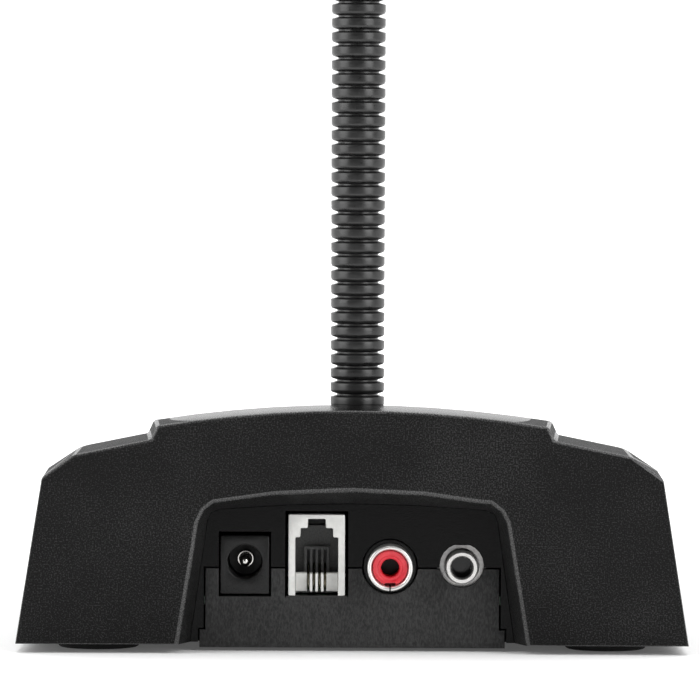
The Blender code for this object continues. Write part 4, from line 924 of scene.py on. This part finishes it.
# %% Ribbed neck
RIBS_BELOW, RIBS_ABOVE = 4, 3  # on either side of a hinge
SPLIT_LENGTH = 4  # the length that parts at its middle groove
hinges = [joint for joint in frame["joints"] if joint["name"].startswith("neck_")]
print("hinges:", len(hinges), "first at", [round(v * 1000, 2) for v in hinges[0]["pos_m"]])
for index, joint in enumerate(hinges, start=1):
    place = Vector(joint["pos_m"])
    low = place.z - RIBS_BELOW * RIB_PITCH
    name = f"neck_sleeve_{index:02d}"
    stands_for = "neck_root_sleeve" if index == 1 else f"neck_segment_{index - 1:02d}"
    if index == SPLIT_LENGTH:
        piece = neck_length(name + "_lower", low, RIBS_BELOW, place)
        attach(piece, joint["parent"])
        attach(neck_length(name + "_upper", place.z, RIBS_ABOVE, place), joint["child"])
    else:
        ribs = RIBS_BELOW + (RIBS_ABOVE if index < len(hinges) else 0)
        piece = neck_length(name, low, ribs, place)
        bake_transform(piece)
    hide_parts(stands_for)
print("neck:", len(hinges), "lengths of", RIBS_BELOW + RIBS_ABOVE, "ribs")

# %% [markdown]
# ## Foam windscreen
# The windscreen is moulded open-cell foam. Its skin is cut cells, so its surface is rough at half a
# millimetre, and a displacement by a cellular texture gives that roughness to the outline as well.

# %% Foam windscreen
foam_low, foam_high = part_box("windscreen")
foam_axis = ((foam_low.x + foam_high.x) / 2, (foam_low.y + foam_high.y) / 2, 0.0)
FOAM_SLACK = 0.0003  # room for the rough skin
FOAM_R = (foam_high.x - foam_low.x) / 2 - FOAM_SLACK
FOAM_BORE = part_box("head_housing")[1].x - foam_axis[0] + FOAM_SLACK
TUCK_HIGH, TUCK_IN = 0.0100, 0.0050
dome_low = foam_high.z - FOAM_SLACK - FOAM_R
tuck_top = foam_low.z + TUCK_HIGH
cap_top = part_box("grille_cap")[1].z + 0.0004


def quarter(step):
    """Sine and cosine every so many degrees over a quarter turn."""
    turns = [math.radians(angle) for angle in range(0, 91, step)]
    return [(math.sin(turn), math.cos(turn)) for turn in turns]


foam_side = [(FOAM_R * s, dome_low + FOAM_R * c) for s, c in quarter(3)]
straight = [dome_low - step * 0.0012 for step in range(1, 23)]
foam_side += [(FOAM_R, height) for height in straight if height > tuck_top]
foam_side += [(FOAM_R - TUCK_IN * (1 - c), tuck_top - (TUCK_HIGH - FOAM_SLACK) * s) for s, c in quarter(6)]
foam_side += [(FOAM_BORE, foam_low.z + FOAM_SLACK)]
inner = [foam_low.z + 0.0020 * step for step in range(1, 18)]
foam_side += [(FOAM_BORE, height) for height in inner if height < cap_top]
foam_side += [(FOAM_BORE, cap_top), (0.0, cap_top)]
foam = turned("foam_windscreen", foam_side, 96, foam_axis)
finish_modifier(foam, "SUBSURF", levels=1, render_levels=1)
cell_texture = bpy.data.textures.new("foam_cells", "VORONOI")
cell_texture.noise_scale = 0.0011
finish_modifier(
    foam, "DISPLACE", texture=cell_texture, texture_coords="LOCAL", strength=-0.00055, mid_level=0.35
)
pick(foam)
bpy.ops.object.shade_smooth()
wear(foam, FOAM, "windscreen", "windscreen", slot="foam")
print("foam windscreen:", len(foam.data.polygons), "faces")

# %% [markdown]
# ## Studio
# The object stands on a white floor that runs into a white backdrop. Light comes from the far side, from
# above and from both sides, and little from the viewer's own side: that draws bright lines along the edges,
# leaves the rear face dark and lets the top mirror the backdrop. The floor's colour is painted darker on the
# viewer's side, as painted shade, and the floor glows, more the further back it lies, as painted light.

# %% Floor
FLOOR_SIDE = 7.0
start_clean()
bpy.ops.mesh.primitive_plane_add(size=1.0)
floor = bpy.context.object
floor.scale = (FLOOR_SIDE, FLOOR_SIDE, 1.0)
settle(floor, "studio_floor")
FLOOR_LOOK = finish("studio_floor_painted_shade_and_glow", Roughness=0.8, Specular_IOR_Level=0.1, Emission_Strength=0.10)
shader_of(FLOOR_LOOK).inputs["Emission Color"].default_value = (1.0, 1.0, 1.0, 1.0)
floor_place = place_of(FLOOR_LOOK)
floor_y = node(FLOOR_LOOK, "SeparateXYZ", {"Vector": floor_place}).outputs["Y"]
paper = sums(FLOOR_LOOK, "MULTIPLY", noise(FLOOR_LOOK, floor_place, 3.0), 0.03)
# Painted shade: the floor's colour falls from white to dark grey towards the viewer's side, less a faint
# paper tone.
painted_shade_and_paper = sums(FLOOR_LOOK, "SUBTRACT", between(FLOOR_LOOK, floor_y, 0.95, 0.16, 0.26, 0.75), paper)
wire(FLOOR_LOOK, "Base Color", tone(FLOOR_LOOK, painted_shade_and_paper, grey(0.0), grey(1.0), 0.0, 1.0))
# Painted light: the floor glows, faintly near the object and more the further back it lies.
wire(FLOOR_LOOK, "Emission Strength", between(FLOOR_LOOK, floor_y, 0.75, 0.08, -1.0, -0.15))
floor.data.materials.append(FLOOR_LOOK)
print("floor:", FLOOR_SIDE, "m square")

# %% World and lights
LIT_SIDE, DIM_SIDE = 1.25, 0.10  # brightness of the far half of the room and of the viewer's
world = bpy.data.worlds.new("studio")
world.use_nodes = True
bpy.context.scene.world = world
sky = world.node_tree
sky_background = sky.nodes["Background"]
sky_direction = sky.nodes.new("ShaderNodeTexCoord")
sky_split = sky.nodes.new("ShaderNodeSeparateXYZ")
sky_range = sky.nodes.new("ShaderNodeMapRange")
sky_range.inputs["From Min"].default_value = -0.10
sky_range.inputs["From Max"].default_value = 0.40
sky_range.inputs["To Min"].default_value = LIT_SIDE
sky_range.inputs["To Max"].default_value = DIM_SIDE
sky.links.new(sky_direction.outputs["Generated"], sky_split.inputs["Vector"])
sky.links.new(sky_split.outputs["Y"], sky_range.inputs["Value"])
sky.links.new(sky_range.outputs["Result"], sky_background.inputs["Strength"])
sky_background.inputs["Color"].default_value = (1.0, 1.0, 1.0, 1.0)


def softbox(name, place, aim, size, power):
    light = bpy.data.lights.new(name, "AREA")
    light.shape = "RECTANGLE"
    light.size, light.size_y = size
    light.energy = power
    lamp = bpy.data.objects.new(name, light)
    lamp.location = place
    lamp.rotation_euler = (Vector(aim) - Vector(place)).to_track_quat("-Z", "Y").to_euler()
    bpy.context.scene.collection.objects.link(lamp)


softbox("softbox_left", (0.742, 0.375, 0.33), (0.0, 0.07, 0.12), (0.60, 0.90), 5.0)
softbox("softbox_right", (-0.595, 0.610, 0.33), (0.0, 0.07, 0.12), (0.50, 0.90), 5.6)
softbox("softbox_top", (0.0, -0.1, 1.5), (0.0, 0.0, 0.0), (1.4, 1.2), 9.0)
bpy.context.scene.view_settings.view_transform = "Standard"
print("lights: a world and three softboxes")
